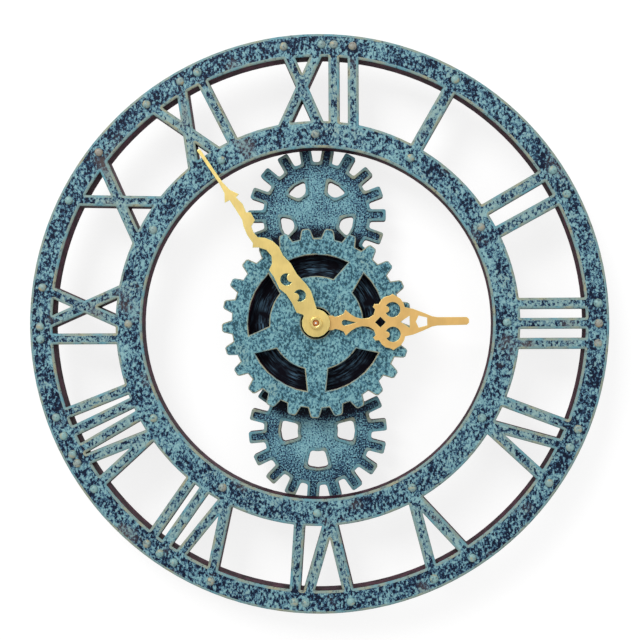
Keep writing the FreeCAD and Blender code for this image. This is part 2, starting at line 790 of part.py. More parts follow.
def middle_plate():
    """Plate that carries the front pivots of the going train."""
    left = -room_half + 2 * peg_radius
    right = board_left - contact_thickness
    bottom = gear_room_bottom + contact_thickness + board_relief
    top = core_height_from_axis - bobbin_flange_radius - board_relief
    front = middle_plate_level + middle_plate_thickness
    plate = box(left, bottom, right, top, middle_plate_level, front)
    cuts = []
    for radius, place in ((minute_arbor_radius, (0, 0)), (train_arbor_radius, third_place()),
                          (train_arbor_radius, step_place()), (train_arbor_radius, rotor_place()),
                          (setting_arbor_radius, setting_place())):
        cuts.append(bore(radius + bearing_gap, middle_plate_level - overrun, front + overrun, place, PIN_SIDES))
    return plate.cut(cuts)


# Battery, contacts and electronics


def battery():
    """Round cell that lies across the bay, with its nub to the right."""
    body_length = battery_length - battery_nub_length
    start = FreeCAD.Vector(-battery_length / 2, battery_axis_height, battery_axis_depth)
    along = FreeCAD.Vector(1, 0, 0)
    body = lying_bar(battery_diameter / 2, start, along, body_length)
    nub = lying_bar(battery_nub_diameter / 2, start + along * body_length, along, battery_nub_length)
    return joined([body, nub])


def contact_plates(side):
    """Folded leaf between the end wall of the bay and the end of the cell."""
    wall = room_half
    leaf_bottom = battery_axis_height - contact_width / 2
    leaf_top = bay_top - contact_gap
    leaf_back = battery_axis_depth - contact_width / 2
    leaf_front = battery_axis_depth + contact_width / 2
    press = battery_length / 2 + contact_gap
    wall_plate = (wall - contact_thickness, leaf_bottom, wall, leaf_top, leaf_back, leaf_front)
    cell_plate = (press, leaf_bottom, press + contact_thickness, leaf_top, leaf_back, leaf_front)
    fold = (press, leaf_bottom, wall, leaf_bottom + contact_thickness, leaf_back, leaf_front)
    drop = (wall - contact_thickness, leaf_top - strip_width, wall, leaf_top, strip_level, leaf_front)
    plates = []
    for left, bottom, right, top, back, front in (wall_plate, cell_plate, fold, drop):
        low, high = sorted((side * left, side * right))
        plates.append(box(low, bottom, high, top, back, front))
    return plates


def contact_positive():
    """Leaf and strip from the nub end of the cell to the circuit board."""
    strip_end = board_bottom + 2 * strip_width
    strip = box(room_half - contact_thickness, bay_top - strip_width, room_half, strip_end,
                strip_level, strip_level + strip_width)
    return joined(contact_plates(1) + [strip])


def contact_negative():
    """Leaf and strip from the flat end of the cell, along the bay wall to the circuit board."""
    front = strip_level + strip_width
    wall = -room_half
    rise = box(wall, bay_top - strip_width, wall + contact_thickness,
               gear_room_bottom + contact_thickness, strip_level, front)
    along = box(wall, gear_room_bottom, board_left + strip_width,
                gear_room_bottom + contact_thickness, strip_level, front)
    return joined(contact_plates(-1) + [rise, along])


def circuit_board():
    """Narrow board on two pegs."""
    return box(board_left, board_bottom, board_left + board_width, board_bottom + board_length,
               board_level, board_level + board_thickness)


def driver_chip():
    """Domed drop of resin over the driver chip."""
    return dome(chip_radius, chip_height, board_level + board_thickness,
                board_left + board_width / 2, board_bottom + board_length / 3)


def quartz_crystal():
    """Small metal can that lies on the circuit board."""
    axis_depth = board_level + board_thickness + crystal_radius * math.cos(math.pi / PIN_SIDES)
    start = FreeCAD.Vector(board_left + board_width / 2, board_bottom + crystal_rise - crystal_length / 2, axis_depth)
    return lying_bar(crystal_radius, start, FreeCAD.Vector(0, 1, 0), crystal_length, PIN_SIDES)


def stator():
    """Iron frame of the stepping motor, with the rotor hole and the coil core in one plate."""
    rotor = rotor_place()
    bottom = rotor[1] - stator_bar / 2
    top = core_height_from_axis + core_width / 2
    frame = rectangle_face(stator_left, bottom, stator_right, top)
    window = rectangle_face(stator_left + stator_leg, rotor[1] + stator_bar / 2,
                            stator_right - stator_leg, core_height_from_axis - core_width / 2)
    rotor_hole = sided_face(rotor_magnet_diameter / 2 + stator_gap, ROUND_SIDES, rotor)
    face = frame.cut([window, rotor_hole])
    return raised(face, stator_level, stator_level + stator_thickness)


def coil_span():
    """Left and right end of the bobbin between the stator's legs."""
    return stator_left + stator_leg + contact_gap, stator_right - stator_leg - contact_gap


def coil_bar(radius, left, right, sides=ROUND_SIDES):
    """Round bar along the coil core."""
    start = FreeCAD.Vector(left, core_height_from_axis, stator_level + stator_thickness / 2)
    return lying_bar(radius, start, FreeCAD.Vector(1, 0, 0), right - left, sides)


def coil_bobbin():
    """Bobbin on the coil core."""
    left, right = coil_span()
    parts = [coil_bar(bobbin_radius, left, right, PIN_SIDES),
             coil_bar(bobbin_flange_radius, left, left + bobbin_flange),
             coil_bar(bobbin_flange_radius, right - bobbin_flange, right)]
    half = core_width / 2 + hole_clearance
    core = box(left - overrun, core_height_from_axis - half, right + overrun, core_height_from_axis + half,
               stator_level - hole_clearance, stator_level + stator_thickness + hole_clearance)
    return joined(parts).cut(core)


def coil_winding():
    """Copper winding between the flanges of the bobbin."""
    left, right = coil_span()
    start = left + bobbin_flange
    end = right - bobbin_flange
    return coil_bar(winding_radius, start, end).cut(coil_bar(bobbin_radius, start, end, PIN_SIDES))


# Wheels and arbors


def tooth_radii(teeth, module, height_shares):
    """Radius at the tips and at the roots of a wheel or pinion."""
    pitch_radius = module * teeth / 2
    return pitch_radius + height_shares[0] * module, pitch_radius - height_shares[1] * module


def wheel(teeth, module, phase, back, front, place=(0, 0)):
    """Thin wheel with pointed teeth."""
    tip_radius, root_radius = tooth_radii(teeth, module, WHEEL_HEIGHT_SHARES)
    points = []
    for index in range(teeth):
        points.append(polar(tip_radius, phase + index * FULL_TURN / teeth, place))
        points.append(polar(root_radius, gap_phase(teeth, phase) + index * FULL_TURN / teeth, place))
    return raised(polygon_face(points), back, front)


def pinion(leaves, module, phase, back, front, place=(0, 0)):
    """Small pinion with pointed leaves and open gaps."""
    tip_radius, root_radius = tooth_radii(leaves, module, PINION_HEIGHT_SHARES)
    half_root = PINION_ROOT_SHARE * FULL_TURN / leaves / 2
    points = []
    for index in range(leaves):
        middle = phase + index * FULL_TURN / leaves
        points.append(polar(root_radius, middle - half_root, place))
        points.append(polar(tip_radius, middle, place))
        points.append(polar(root_radius, middle + half_root, place))
    return raised(polygon_face(points), back, front)


def train_arbor(place):
    """Thin arbor between the rear wall and the middle plate, round where it turns in the wall."""
    pivot = cylinder(train_arbor_radius, case_wall - pivot_depth + end_shake, case_wall, place)
    front = middle_plate_level + middle_plate_thickness - end_shake
    return joined([pivot, bar(train_arbor_radius, case_wall, front, place, PIN_SIDES)])


def gap_phase(teeth, angle):
    """Phase that puts a gap between two teeth at an angle."""
    return angle + FULL_TURN / teeth / 2


def rotor_pinion():
    """Arbor and pinion of the rotor."""
    place = rotor_place()
    leaves = pinion(ROTOR_LEAVES, rotor_module, gap_phase(ROTOR_LEAVES, ROTOR_ARBOR_ANGLE + FULL_TURN / 2),
                    step_wheel_level - pinion_overhang, rotor_magnet_level, place)
    return joined([train_arbor(place), leaves])


def rotor_magnet():
    """Round magnet on the rotor arbor."""
    front = rotor_magnet_level + rotor_magnet_height
    hole = bore(train_arbor_radius, rotor_magnet_level - overrun, front + overrun, rotor_place(), PIN_SIDES)
    return bar(rotor_magnet_diameter / 2, rotor_magnet_level, front, rotor_place()).cut(hole)


def step_wheel():
    """Wheel that the rotor drives, with its pinion."""
    place = step_place()
    teeth = wheel(STEP_TEETH, rotor_module, ROTOR_ARBOR_ANGLE, step_wheel_level,
                  step_wheel_level + wheel_thickness, place)
    leaves = pinion(STEP_LEAVES, step_module, gap_phase(STEP_LEAVES, STEP_ARBOR_ANGLE + FULL_TURN / 2),
                    second_wheel_level - pinion_overhang, step_wheel_level, place)
    return joined([train_arbor(place), teeth, leaves])


def second_wheel():
    """Wheel on the long arbor that turns once a minute."""
    arbor = bar(second_arbor_radius, case_wall - pivot_depth + end_shake, hand_nut_front, (0, 0), PIN_SIDES)
    teeth = wheel(SECOND_TEETH, step_module, STEP_ARBOR_ANGLE, second_wheel_level,
                  second_wheel_level + wheel_thickness)
    leaves = pinion(SECOND_LEAVES, second_module, gap_phase(SECOND_LEAVES, THIRD_ARBOR_ANGLE),
                    third_wheel_level - pinion_overhang, third_wheel_level + wheel_thickness + pinion_overhang)
    return joined([arbor, teeth, leaves])


def third_wheel():
    """Wheel between the second wheel and the centre wheel."""
    place = third_place()
    teeth = wheel(THIRD_TEETH, second_module, THIRD_ARBOR_ANGLE + FULL_TURN / 2, third_wheel_level,
                  third_wheel_level + wheel_thickness, place)
    leaves = pinion(THIRD_LEAVES, third_module, gap_phase(THIRD_LEAVES, THIRD_ARBOR_ANGLE + FULL_TURN / 2),
                    third_wheel_level + wheel_thickness, center_wheel_level + wheel_thickness + pinion_overhang,
                    place)
    return joined([train_arbor(place), teeth, leaves])


def minute_arbor_bore(back, front):
    """Running hole on the minute arbor."""
    return bore(minute_arbor_radius + bearing_gap, back - overrun, front + overrun, (0, 0), PIN_SIDES)


def center_wheel():
    """Wheel that grips the minute arbor by friction."""
    front = center_wheel_level + wheel_thickness
    teeth = wheel(CENTER_TEETH, third_module, THIRD_ARBOR_ANGLE, center_wheel_level, front)
    return teeth.cut(minute_arbor_bore(center_wheel_level, front))


def minute_arbor():
    """Hollow arbor with the cannon pinion, which carries the minute hand."""
    foot = center_wheel_level - pinion_overhang
    arbor = bar(minute_arbor_radius, foot, minute_hand_back, (0, 0), PIN_SIDES)
    thread = bar(minute_thread_diameter / 2, minute_hand_back, hand_nut_front - thread_end, (0, 0), PIN_SIDES)
    leaves = pinion(CANNON_LEAVES, motion_module, gap_phase(CANNON_LEAVES, SETTING_ARBOR_ANGLE),
                    minute_wheel_level - pinion_overhang / 2, minute_wheel_level + wheel_thickness + pinion_overhang)
    hollow = bore(second_arbor_radius + bearing_gap, foot - overrun, hand_nut_front + overrun, (0, 0), PIN_SIDES)
    return joined([arbor, thread, leaves]).cut(hollow)


def minute_wheel():
    """Wheel and pinion of the motion work on the setting arbor."""
    place = setting_place()
    front = cover_back - end_shake
    knob_front = knob_recess_depth - end_shake
    pivot = cylinder(setting_arbor_radius, knob_front - knob_thickness, knob_front, place)
    arbor = bar(setting_arbor_radius, knob_front, front, place, PIN_SIDES)
    teeth = wheel(MINUTE_TEETH, motion_module, SETTING_ARBOR_ANGLE + FULL_TURN / 2, minute_wheel_level,
                  minute_wheel_level + wheel_thickness, place)
    leaves = pinion(MINUTE_LEAVES, motion_module, gap_phase(MINUTE_LEAVES, SETTING_ARBOR_ANGLE + FULL_TURN / 2),
                    minute_wheel_level + wheel_thickness, hour_wheel_level + wheel_thickness + pinion_overhang,
                    place)
    return joined([pivot, arbor, teeth, leaves])


def hour_wheel():
    """Wheel with the long tube that carries the hour hand."""
    teeth = wheel(HOUR_TEETH, motion_module, SETTING_ARBOR_ANGLE, hour_wheel_level,
                  hour_wheel_level + wheel_thickness)
    front = hour_hand_back + hand_thickness
    sleeve = bar(hour_tube_radius, hour_wheel_level, front)
    return joined([teeth, sleeve]).cut(minute_arbor_bore(hour_wheel_level, front))


def setting_knob():
    """Gripped wheel in its recess at the back, on the setting arbor."""
    place = setting_place()
    front = knob_recess_depth - end_shake
    back = front - knob_thickness
    outer = knob_diameter / 2
    points = []
    for index in range(2 * KNOB_GRIPS):
        radius = outer if index % 2 == 0 else outer - knob_grip_depth
        points.append(polar(radius, index * FULL_TURN / (2 * KNOB_GRIPS), place))
    knob = raised(polygon_face(points), back, front)
    return knob.cut(bore(setting_arbor_radius, back - overrun, front + overrun, place, PIN_SIDES))


save("dial_ring", [dial_ring()])
save("outer_rivets", outer_rivets())
save("inner_rivets", inner_rivets())
save("center_gear", [center_gear()])
save("upper_gear", [small_gear(1, 0, UPPER_WINDOWS, UPPER_WINDOW_SPANS)])
save("lower_gear", [small_gear(-1, LOWER_GEAR_PHASE, LOWER_WINDOWS, LOWER_WINDOW_SPANS)])
save("backing_disc", [backing_disc()])
save("frame_screws", frame_screws())
save("hour_hand", [hour_hand()])
save("minute_hand", [minute_hand()])
save("hand_nut", [hand_nut()])
save("movement_case", [movement_case()])
save("movement_cover", [movement_cover()])
save("rubber_gasket", [rubber_gasket()])
save("shaft_washer", [shaft_washer()])
save("shaft_nut", [shaft_nut()])
save("middle_plate", [middle_plate()])
save("battery", [battery()])
save("contact_positive", [contact_positive()])
save("contact_negative", [contact_negative()])
save("circuit_board", [circuit_board()])
save("driver_chip", [driver_chip()])
save("quartz_crystal", [quartz_crystal()])
save("stator", [stator()])
save("coil_bobbin", [coil_bobbin()])
save("coil_winding", [coil_winding()])
save("rotor_pinion", [rotor_pinion()])
save("rotor_magnet", [rotor_magnet()])
save("step_wheel", [step_wheel()])
save("second_wheel", [second_wheel()])
save("third_wheel", [third_wheel()])
save("center_wheel", [center_wheel()])
save("minute_arbor", [minute_arbor()])
save("minute_wheel", [minute_wheel()])
save("hour_wheel", [hour_wheel()])
save("setting_knob", [setting_knob()])
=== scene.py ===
"""Round skeleton wall clock: hammered green paint, brass hands and a dark clockwork housing."""
import math
import random

import bmesh
import bpy
from mathutils import Matrix, Vector


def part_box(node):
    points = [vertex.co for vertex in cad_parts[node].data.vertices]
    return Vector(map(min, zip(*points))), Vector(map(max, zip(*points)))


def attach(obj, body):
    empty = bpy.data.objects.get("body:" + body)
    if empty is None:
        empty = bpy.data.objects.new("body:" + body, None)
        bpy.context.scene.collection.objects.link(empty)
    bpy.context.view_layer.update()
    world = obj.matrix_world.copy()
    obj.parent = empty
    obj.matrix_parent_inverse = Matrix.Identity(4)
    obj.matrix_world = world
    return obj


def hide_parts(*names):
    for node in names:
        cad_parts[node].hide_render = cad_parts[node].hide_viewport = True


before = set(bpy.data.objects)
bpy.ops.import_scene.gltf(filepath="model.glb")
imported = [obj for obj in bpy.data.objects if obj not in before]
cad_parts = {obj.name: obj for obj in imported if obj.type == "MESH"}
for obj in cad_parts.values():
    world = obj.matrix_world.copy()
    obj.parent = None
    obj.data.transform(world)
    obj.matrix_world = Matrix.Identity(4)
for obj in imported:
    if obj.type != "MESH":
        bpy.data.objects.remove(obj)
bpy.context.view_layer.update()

bl_info = {
    "name": "Skeleton Wall Clock",
    "version": (1, 0, 0),
    "blender": (4, 5, 0),
    "location": "3D View > Sidebar > Clock",
    "description": "Dresses the packed frame of a round skeleton wall clock",
    "category": "Object",
}

MM = 0.001
FRONT = Vector((0, -1, 0))
RANDOM_SEED = 12

# Levels along Y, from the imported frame
DIAL_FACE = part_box("dial_ring")[0].y
CENTER_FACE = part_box("center_gear")[0].y
SMALL_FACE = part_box("upper_gear")[0].y

# How the copied shapes are cleaned, and how their flat faces and corners are told
MERGE_GAP = 0.002 * MM
LEVEL_GAP = 0.02 * MM
FLAT_ANGLE = math.radians(0.5)
FLAT_SHARE = 0.985
WALL_SHARE = 0.2
CORNER_ANGLE = math.radians(20)
SLIGHT_ANGLE = math.radians(12)
NARROW_SHARE = 0.45
CORNER_STEPS = 4
WEIGHT_NAME = "bevel_weight_edge"

# Where the paints change, in millimetres from the hand axis: visible band of the backing disc, whose
# brushing fades into painted shade towards the window walls, zone of the numeral strokes, middles of the
# small gears, from which painted shade grows towards the teeth, and tooth tips of the centre gear, beyond
# which a painted shadow lies
BAND_MIDDLE = 29.0
BAND_HALF = 6.5
STROKE_MIDDLE = 121.0
STROKE_HALF = 15.0
SMALL_GEAR_MIDDLE = 56.8
CENTER_TIP = 48.5

# Levels at which the hammered paint changes its tone, from the pits to the high spots
TONE_STOPS = (0.33, 0.42, 0.475, 0.53, 0.66)

# Raised rims of the small gears, the sharp front edge of their plates and the most that an opening is wide
RIM_HEIGHT = 1.0 * MM
PLATE_EDGE = 0.02 * MM
OPENING_WIDTH = 20.0 * MM

# Windows of the lower gear, which the frame has too small: where they lie (right, left, bottom), the band
# that holds them, and how far their inner sides move in and their flanks apart
WINDOW_AXES = (0, math.pi, -math.pi / 2)
WINDOW_INNER = 11.0 * MM
WINDOW_OUTER = 22.0 * MM
WINDOW_MIDDLE = 16.0 * MM
WINDOW_SPAN = math.radians(32)
WINDOW_GROWTH = 2.3 * MM
WINDOW_INNER_SPREAD = 1.28
WINDOW_OUTER_SPREAD = 1.16

# Sides of the round pieces, sides and rings of a stud, the least and the most share of full size that a stud
# has, and the distance by which two studs are told apart
ROUND_SIDES = 48
STUD_SIDES = 16
STUD_RINGS = 12
STUD_SHARES = (0.94, 1.0)
STUD_GAP = 1.0 * MM

# Profile of the hand nut in steps of rise, as a share of its height, and growth, and the share of its hollow
NUT_PROFILE = ((0.80, 1.0), (0.14, 0.97), (0.06, 0.92), (0.0, 0.62), (-0.08, 0.93), (-0.62, 0.97))
HOLLOW_SHARE = 0.565

# Nub and rounded edge of the cell
NUB_LENGTH = 1.0 * MM
NUB_RADIUS = 2.75 * MM
CELL_EDGE = 0.6 * MM

# Start of the cell's copper band along X, and pitch of the coil's wire, in millimetres
COPPER_START = 10.0
WIRE_PITCH = 0.24

# Camera of the photograph
CAMERA_PLACE = (0.0229, -0.55, -0.0028)
CAMERA_PAN = math.radians(-2.297)
CAMERA_TILT = math.radians(0.484)
CAMERA_ROLL = math.radians(-0.264)
CAMERA_FOCUS_PIXELS = 1013
IMAGE_PIXELS = 640
SENSOR_WIDTH = 36

# Stage: name, place, size and power of the lamps, light all round, and the wall, of which a share glows so
# that the shadows stay faint
LAMPS = (
    ("key_lamp", (-0.7, -1.3, 1.0), 0.8, 18),
    ("fill_lamp", (1.0, -1.4, 0.2), 1.2, 3),
    ("rear_lamp", (0.5, 1.4, 0.9), 1.2, 10),
)
WORLD_STRENGTH = 0.55
WALL_SIZE = 3
WALL_PLACE = (0, 1 * MM, 0)
WALL_GLOW = 0.72
GLOW_STRENGTH = 1.1


def paint(red, green, blue):
    """Linear colour from the values seen on a screen, from 0 to 255."""
    return tuple(((part / 255 + 0.055) / 1.055) ** 2.4 if part > 10 else part / 255 / 12.92
                 for part in (red, green, blue))


def color_property(name, description, default):
    """Colour that the sidebar shows."""
    return bpy.props.FloatVectorProperty(name=name, description=description, default=default, size=3,
                                         subtype="COLOR", min=0, max=1)


def length_property(name, description, default):
    """Length that the sidebar shows."""
    return bpy.props.FloatProperty(name=name, description=description, default=default, min=0,
                                   unit="LENGTH", subtype="DISTANCE", precision=5)


class ClockSizes(bpy.types.PropertyGroup):
    """Sizes of the finish that the frame doesn't hold."""
    stud_radius: length_property("Stud radius", "Radius of the domed studs", 2.3 * MM)
    board_edge: length_property("Board edge", "Width of the rounded front edge of the dial board", 1.3 * MM)
    board_edge_depth: length_property("Board edge depth", "Depth of the same edge", 0.65 * MM)
    window_corner: length_property("Window corner", "Radius in the corners of the dial windows", 0.4 * MM)
    gear_edge: length_property("Gear edge", "Width of the rounded front edge of the centre gear", 0.6 * MM)
    tooth_corner: length_property("Tooth corner", "Radius at the corners of the small gears", 1.3 * MM)
    opening_corner: length_property("Opening corner", "Radius in the openings of the small gears", 2.4 * MM)
    rim_edge: length_property("Rim edge", "Width of the rounded edge on the raised rims", 0.3 * MM)
    hand_edge: length_property("Hand edge", "Width of the bright edge of the hands", 0.2 * MM)
    plastic_edge: length_property("Plastic edge", "Radius on the moulded housing", 0.35 * MM)


class ClockColors(bpy.types.PropertyGroup):
    """Colours of the finishes."""
    teal: color_property("Teal", "Ground of the hammered paint", paint(104, 154, 166))
    pale_teal: color_property("Pale teal", "High spots of the hammered paint", paint(138, 184, 192))
    slate_blue: color_property("Slate blue", "Slopes of the low spots", paint(66, 106, 136))
    navy: color_property("Navy", "Low spots of the hammered paint", paint(14, 32, 62))
    # Olive also gives the rounded board edges their painted highlight.
    olive: color_property("Olive", "Rubbed edges of the paint", paint(156, 158, 134))
    plum: color_property("Plum", "Stained walls of the boards", paint(86, 44, 62))
    brass: color_property("Brass", "Minute hand and nuts", paint(252, 224, 140))
    copper_gold: color_property("Copper gold", "Hour hand", paint(255, 208, 128))
    black_plastic: color_property("Black plastic", "Housing of the clockwork", paint(34, 34, 36))


class Strand:
    """Number, vector or colour on its way between two shader nodes, for use in plain arithmetic."""

    def __init__(self, finish, socket):
        self.finish = finish
        self.socket = socket

    def join(self, operation, first, second=0.0):
        """Number from one Math node of the same finish."""
        return self.finish.join(operation, first, second)

    def __add__(self, other):
        return self.join("ADD", self, other)

    def __radd__(self, other):
        return self.join("ADD", other, self)

    def __sub__(self, other):
        return self.join("SUBTRACT", self, other)

    def __rsub__(self, other):
        return self.join("SUBTRACT", other, self)

    def __mul__(self, other):
        return self.join("MULTIPLY", self, other)

    def __rmul__(self, other):
        return self.join("MULTIPLY", other, self)

    def __truediv__(self, other):
        return self.join("DIVIDE", self, other)

    def within(self):
        """The same number, kept from 0 to 1."""
        return self.finish.add("ShaderNodeClamp", {}, {"Value": self})

    def least(self, other):
        """The smaller of two numbers."""
        return self.join("MINIMUM", self, other)


class Finish:
    """A surface finish: one material whose nodes are added by type."""

    def __init__(self, name, roughness=0.5, metallic=0.0, **shader_values):
        self.material = bpy.data.materials.new(name)
        self.material.use_nodes = True
        self.tree = self.material.node_tree
        self.shader = self.tree.nodes["Principled BSDF"]
        self.shader.inputs["Roughness"].default_value = roughness
        self.shader.inputs["Metallic"].default_value = metallic
        for title, value in shader_values.items():
            self.shader.inputs[title.replace("_", " ")].default_value = value
        self.place = self.add("ShaderNodeVectorMath", {"operation": "SCALE"}, {
            "Vector": self.add("ShaderNodeTexCoord", {}, {}, "Object"), "Scale": 1 / MM})

    def add(self, kind, settings, inputs, output=0):
        """New node of a kind: its settings first, then the values or strands of its sockets."""
        node = self.tree.nodes.new(kind)
        for title, value in settings.items():
            if title == "stops":
                self.set_stops(node.color_ramp, value)
            else:
                setattr(node, title, value)
        for title, value in inputs.items():
            self.feed(self.find(node.inputs, title), value)
        return Strand(self, self.find(node.outputs, output))

    def find(self, sockets, title):
        """Socket by number, by identifier or by name."""
        if isinstance(title, int):
            return sockets[title]
        for socket in sockets:
            if socket.identifier == title:
                return socket
        return sockets[title]

    def feed(self, socket, value):
        """Link a strand to a socket, or set its value."""
        if isinstance(value, Strand):
            self.tree.links.new(value.socket, socket)
        elif socket.type == "RGBA" and len(value) == 3:
            socket.default_value = (*value, 1)
        else:
            socket.default_value = value

    def set_stops(self, ramp, stops):
        """Places and colours of a colour ramp."""
        stops = list(stops)
        while len(ramp.elements) < len(stops):
            ramp.elements.new(1)
        for element, (place, color) in zip(ramp.elements, stops):
            element.position = place
            element.color = (*color, 1)

    def noise(self, wave, detail=2.0, roughness=0.5, place=None, distortion=0.0):
        """Soft noise with a wave length in millimetres, around one half."""
        return self.add("ShaderNodeTexNoise", {"noise_dimensions": "3D"}, {
            "Vector": place or self.place, "Scale": 1 / wave, "Detail": detail, "Roughness": roughness,
            "Distortion": distortion}, "Fac")

    def stretched(self, along):
        """Place with one or more directions stretched, in millimetres."""
        return self.add("ShaderNodeVectorMath", {"operation": "MULTIPLY"}, {0: self.place, 1: along})

    def along(self, axis):
        """Distance from the hand axis along X or Z, in millimetres."""
        return self.add("ShaderNodeSeparateXYZ", {}, {"Vector": self.place}, axis)

    def radius(self, rise=None):
        """Distance from the hand axis in millimetres, or from a middle from which the rise is told."""
        across = self.along("X")
        rise = rise or self.along("Z")
        return self.join("SQRT", across * across + rise * rise)

    def join(self, operation, first, second=0.0):
        """Number from one Math node."""
        return self.add("ShaderNodeMath", {"operation": operation}, {0: first, 1: second})

    def mixed(self, share, first, second):
        """Colour between two colours."""
        return self.add("ShaderNodeMix", {"data_type": "RGBA"}, {
            "Factor_Float": share, "A_Color": first, "B_Color": second}, "Result_Color")

    def coat(self, color, height, depth, strength, roughness=None):
        """Give the shader its colour, its relief with a depth in millimetres, and maybe its roughness."""
        self.feed(self.shader.inputs["Base Color"], color)
        if roughness is not None:
            self.feed(self.shader.inputs["Roughness"], roughness)
        bump = self.add("ShaderNodeBump", {}, {
            "Height": height, "Distance": depth * MM, "Strength": strength})
        self.feed(self.shader.inputs["Normal"], bump)
        return self.material


# Finishes of the boards


def pitted(finish, colors, level):
    """Tones of the paint by depth: two dark blues in the pits, then slate blue, green and pale green."""
    deep = tuple(part * 0.45 for part in colors.navy)
    tones = (deep, colors.navy, colors.slate_blue, colors.teal, colors.pale_teal)
    return finish.add("ShaderNodeValToRGB", {"stops": zip(TONE_STOPS, tones)}, {"Fac": level}, "Color")


def hammered_paint(name, colors, shift, wave, green, clouds, relief, on_ring):
    """Green paint beaten into small pits that hold dark blue, with pale high spots between them.

    The level says how high a place lies: shift raises it, and clouds is how far wide patches move it.
    Wave and relief are the size and depth of the pits in millimetres, green is the share of olive.
    """
    finish = Finish(name, roughness=0.54, Specular_IOR_Level=0.15)
    spots = finish.noise(wave, 3.0, 0.6, finish.stretched((1.0, 1.0, 0.75)), distortion=0.3)
    fine = finish.noise(wave * 0.4, roughness=0.6)
    patches = finish.noise(10.0)
    stains = finish.noise(15.0)
    level = spots * 1.05 + (fine - 0.5) * 0.34 - (patches - 0.5) * clouds + shift
    if on_ring:
        radius = finish.radius()
        strokes = ((STROKE_HALF - finish.join("ABSOLUTE", radius - STROKE_MIDDLE)) / 2.0).within()
        rim = ((radius - STROKE_MIDDLE - STROKE_HALF) / 2.0).within()
        level = level + strokes * 0.03 - rim * 0.03
        green = strokes * 0.22 + green
    raised = ((level - 0.46) * 9.0).within()
    color = finish.mixed(raised * green, pitted(finish, colors, level), colors.olive)
    rubbed = ((stains - 0.56) * 6.0).within() * ((level - 0.5) * 8.0).within()
    color = finish.mixed(rubbed * 0.45, color, colors.olive)
    if on_ring:
        worn = ((finish.noise(24.0, 3.0) - 0.60) * 9.0).within()
        color = finish.mixed(worn * 0.45, color, paint(112, 98, 88))
    else:
        color = finish.mixed(0.2, color, paint(92, 158, 164))
    return finish.coat(color, spots.least(0.6), relief, 0.9)


def gear_field(name, colors):
    """Fine pitted paint on the small gears, with painted shade that darkens it towards the teeth and a
    painted shadow, nearly black, under the teeth of the large gear.
    """
    finish = Finish(name, roughness=0.52, Specular_IOR_Level=0.15)
    reach = finish.radius(finish.join("ABSOLUTE", finish.along("Z")) - SMALL_GEAR_MIDDLE)
    # Painted shade: the paint darkens away from the middle of each small gear, towards its teeth and rims.
    painted_shade_to_teeth = ((reach - 15.0) / 15.0).within()
    # Painted shadow: the paint goes nearly black under the large gear and just beyond its tooth tips.
    under = (1.0 - (finish.radius() - CENTER_TIP) / 4.5).within()
    spots = finish.noise(0.8, 3.0, 0.6, distortion=0.3)
    patches = finish.noise(9.0)
    level = spots * 1.1 - painted_shade_to_teeth * 0.11 - under * 0.16 - (patches - 0.5) * 0.24 - 0.01
    color = pitted(finish, colors, level)
    # Painted shadow by the large gear's teeth, in nearly black blue.
    color = finish.mixed((under * 0.95 - 0.25).within(), color, paint(8, 8, 20))
    return finish.coat(color, spots.least(0.6), 0.1, 0.9)


def rubbed_and_highlit_edge(name, colors, share, tone=1.0):
    """Paint rubbed thin along the rounded edges, between green and olive; on the edges of the boards the
    olive is partly a painted highlight.
    """
    finish = Finish(name, roughness=0.5, Specular_IOR_Level=0.2)
    broad = ((finish.noise(9.0) - 0.5) * 3.0 + share).within()
    fine = finish.noise(1.3, 3.0, 0.6)
    green, pale = (tuple(part * tone for part in color) for color in (colors.teal, colors.olive))
    # The olive share is partly rubbed paint and partly a painted highlight on the rounded edges.
    color = finish.mixed(broad, green, pale)
    pits = ((0.44 - fine) * 9.0).within()
    color = finish.mixed(pits * 0.6, color, colors.navy)
    return finish.coat(color, fine, 0.12, 0.8)


def stained_wall(name, colors):
    """Dark stain on the cut walls of the board, with the faint layers of pressed fibre."""
    finish = Finish(name, roughness=0.7, Specular_IOR_Level=0.08)
    layers = finish.noise(1.1, place=finish.stretched((0.12, 1.0, 0.12)))
    blots = finish.noise(5.0, 3.0)
    chips = ((finish.noise(0.9) - 0.66) * 12.0).within()
    dark = tuple(part * 0.14 for part in colors.plum)
    color = finish.mixed(((layers - 0.5) * 1.4 + (blots - 0.36) * 2.4).within(), dark, colors.plum)
    color = finish.mixed(chips * 0.4, color, colors.slate_blue)
    return finish.coat(color, layers, 0.08, 0.7)


def raw_back(name):
    """Back of the boards: dark dyed fibre with cloudy scuffs."""
    finish = Finish(name, roughness=0.8, Specular_IOR_Level=0.2)
    fibre = finish.noise(0.8, 4.0, 0.7)
    scuffs = finish.noise(16.0, 3.0)
    color = finish.mixed(((scuffs - 0.5) * 2.0 + fibre * 0.7).within(), paint(44, 40, 42), paint(84, 76, 72))
    return finish.coat(color, fibre, 0.06, 0.6)


def brushed_night(name):
    """Nearly black blue of the backing disc, dry brushed round the middle of its visible band, with the
    brushing faded into painted shade towards the window walls.
    """
    finish = Finish(name, roughness=0.6, Specular_IOR_Level=0.08)
    radius = finish.radius()
    turn = finish.join("ARCTAN2", finish.along("Z"), finish.along("X"))
    round_axis = finish.add("ShaderNodeCombineXYZ", {}, {"X": radius, "Y": turn * 2.6, "Z": 0.0})
    streaks = finish.noise(0.9, 3.0, 0.65, round_axis, distortion=0.5)
    patches = finish.noise(7.0)
    # Painted shade: the brushing fades out towards both edges of the visible band, by the window walls.
    band = (1.15 - finish.join("ABSOLUTE", radius - BAND_MIDDLE) / BAND_HALF).within()
    share = ((streaks - 0.47) * 5.0).within() * band * ((patches - 0.36) * 3.4).within()
    color = finish.mixed(share, paint(8, 6, 18), paint(98, 136, 162))
    return finish.coat(color, streaks, 0.12, 0.7)


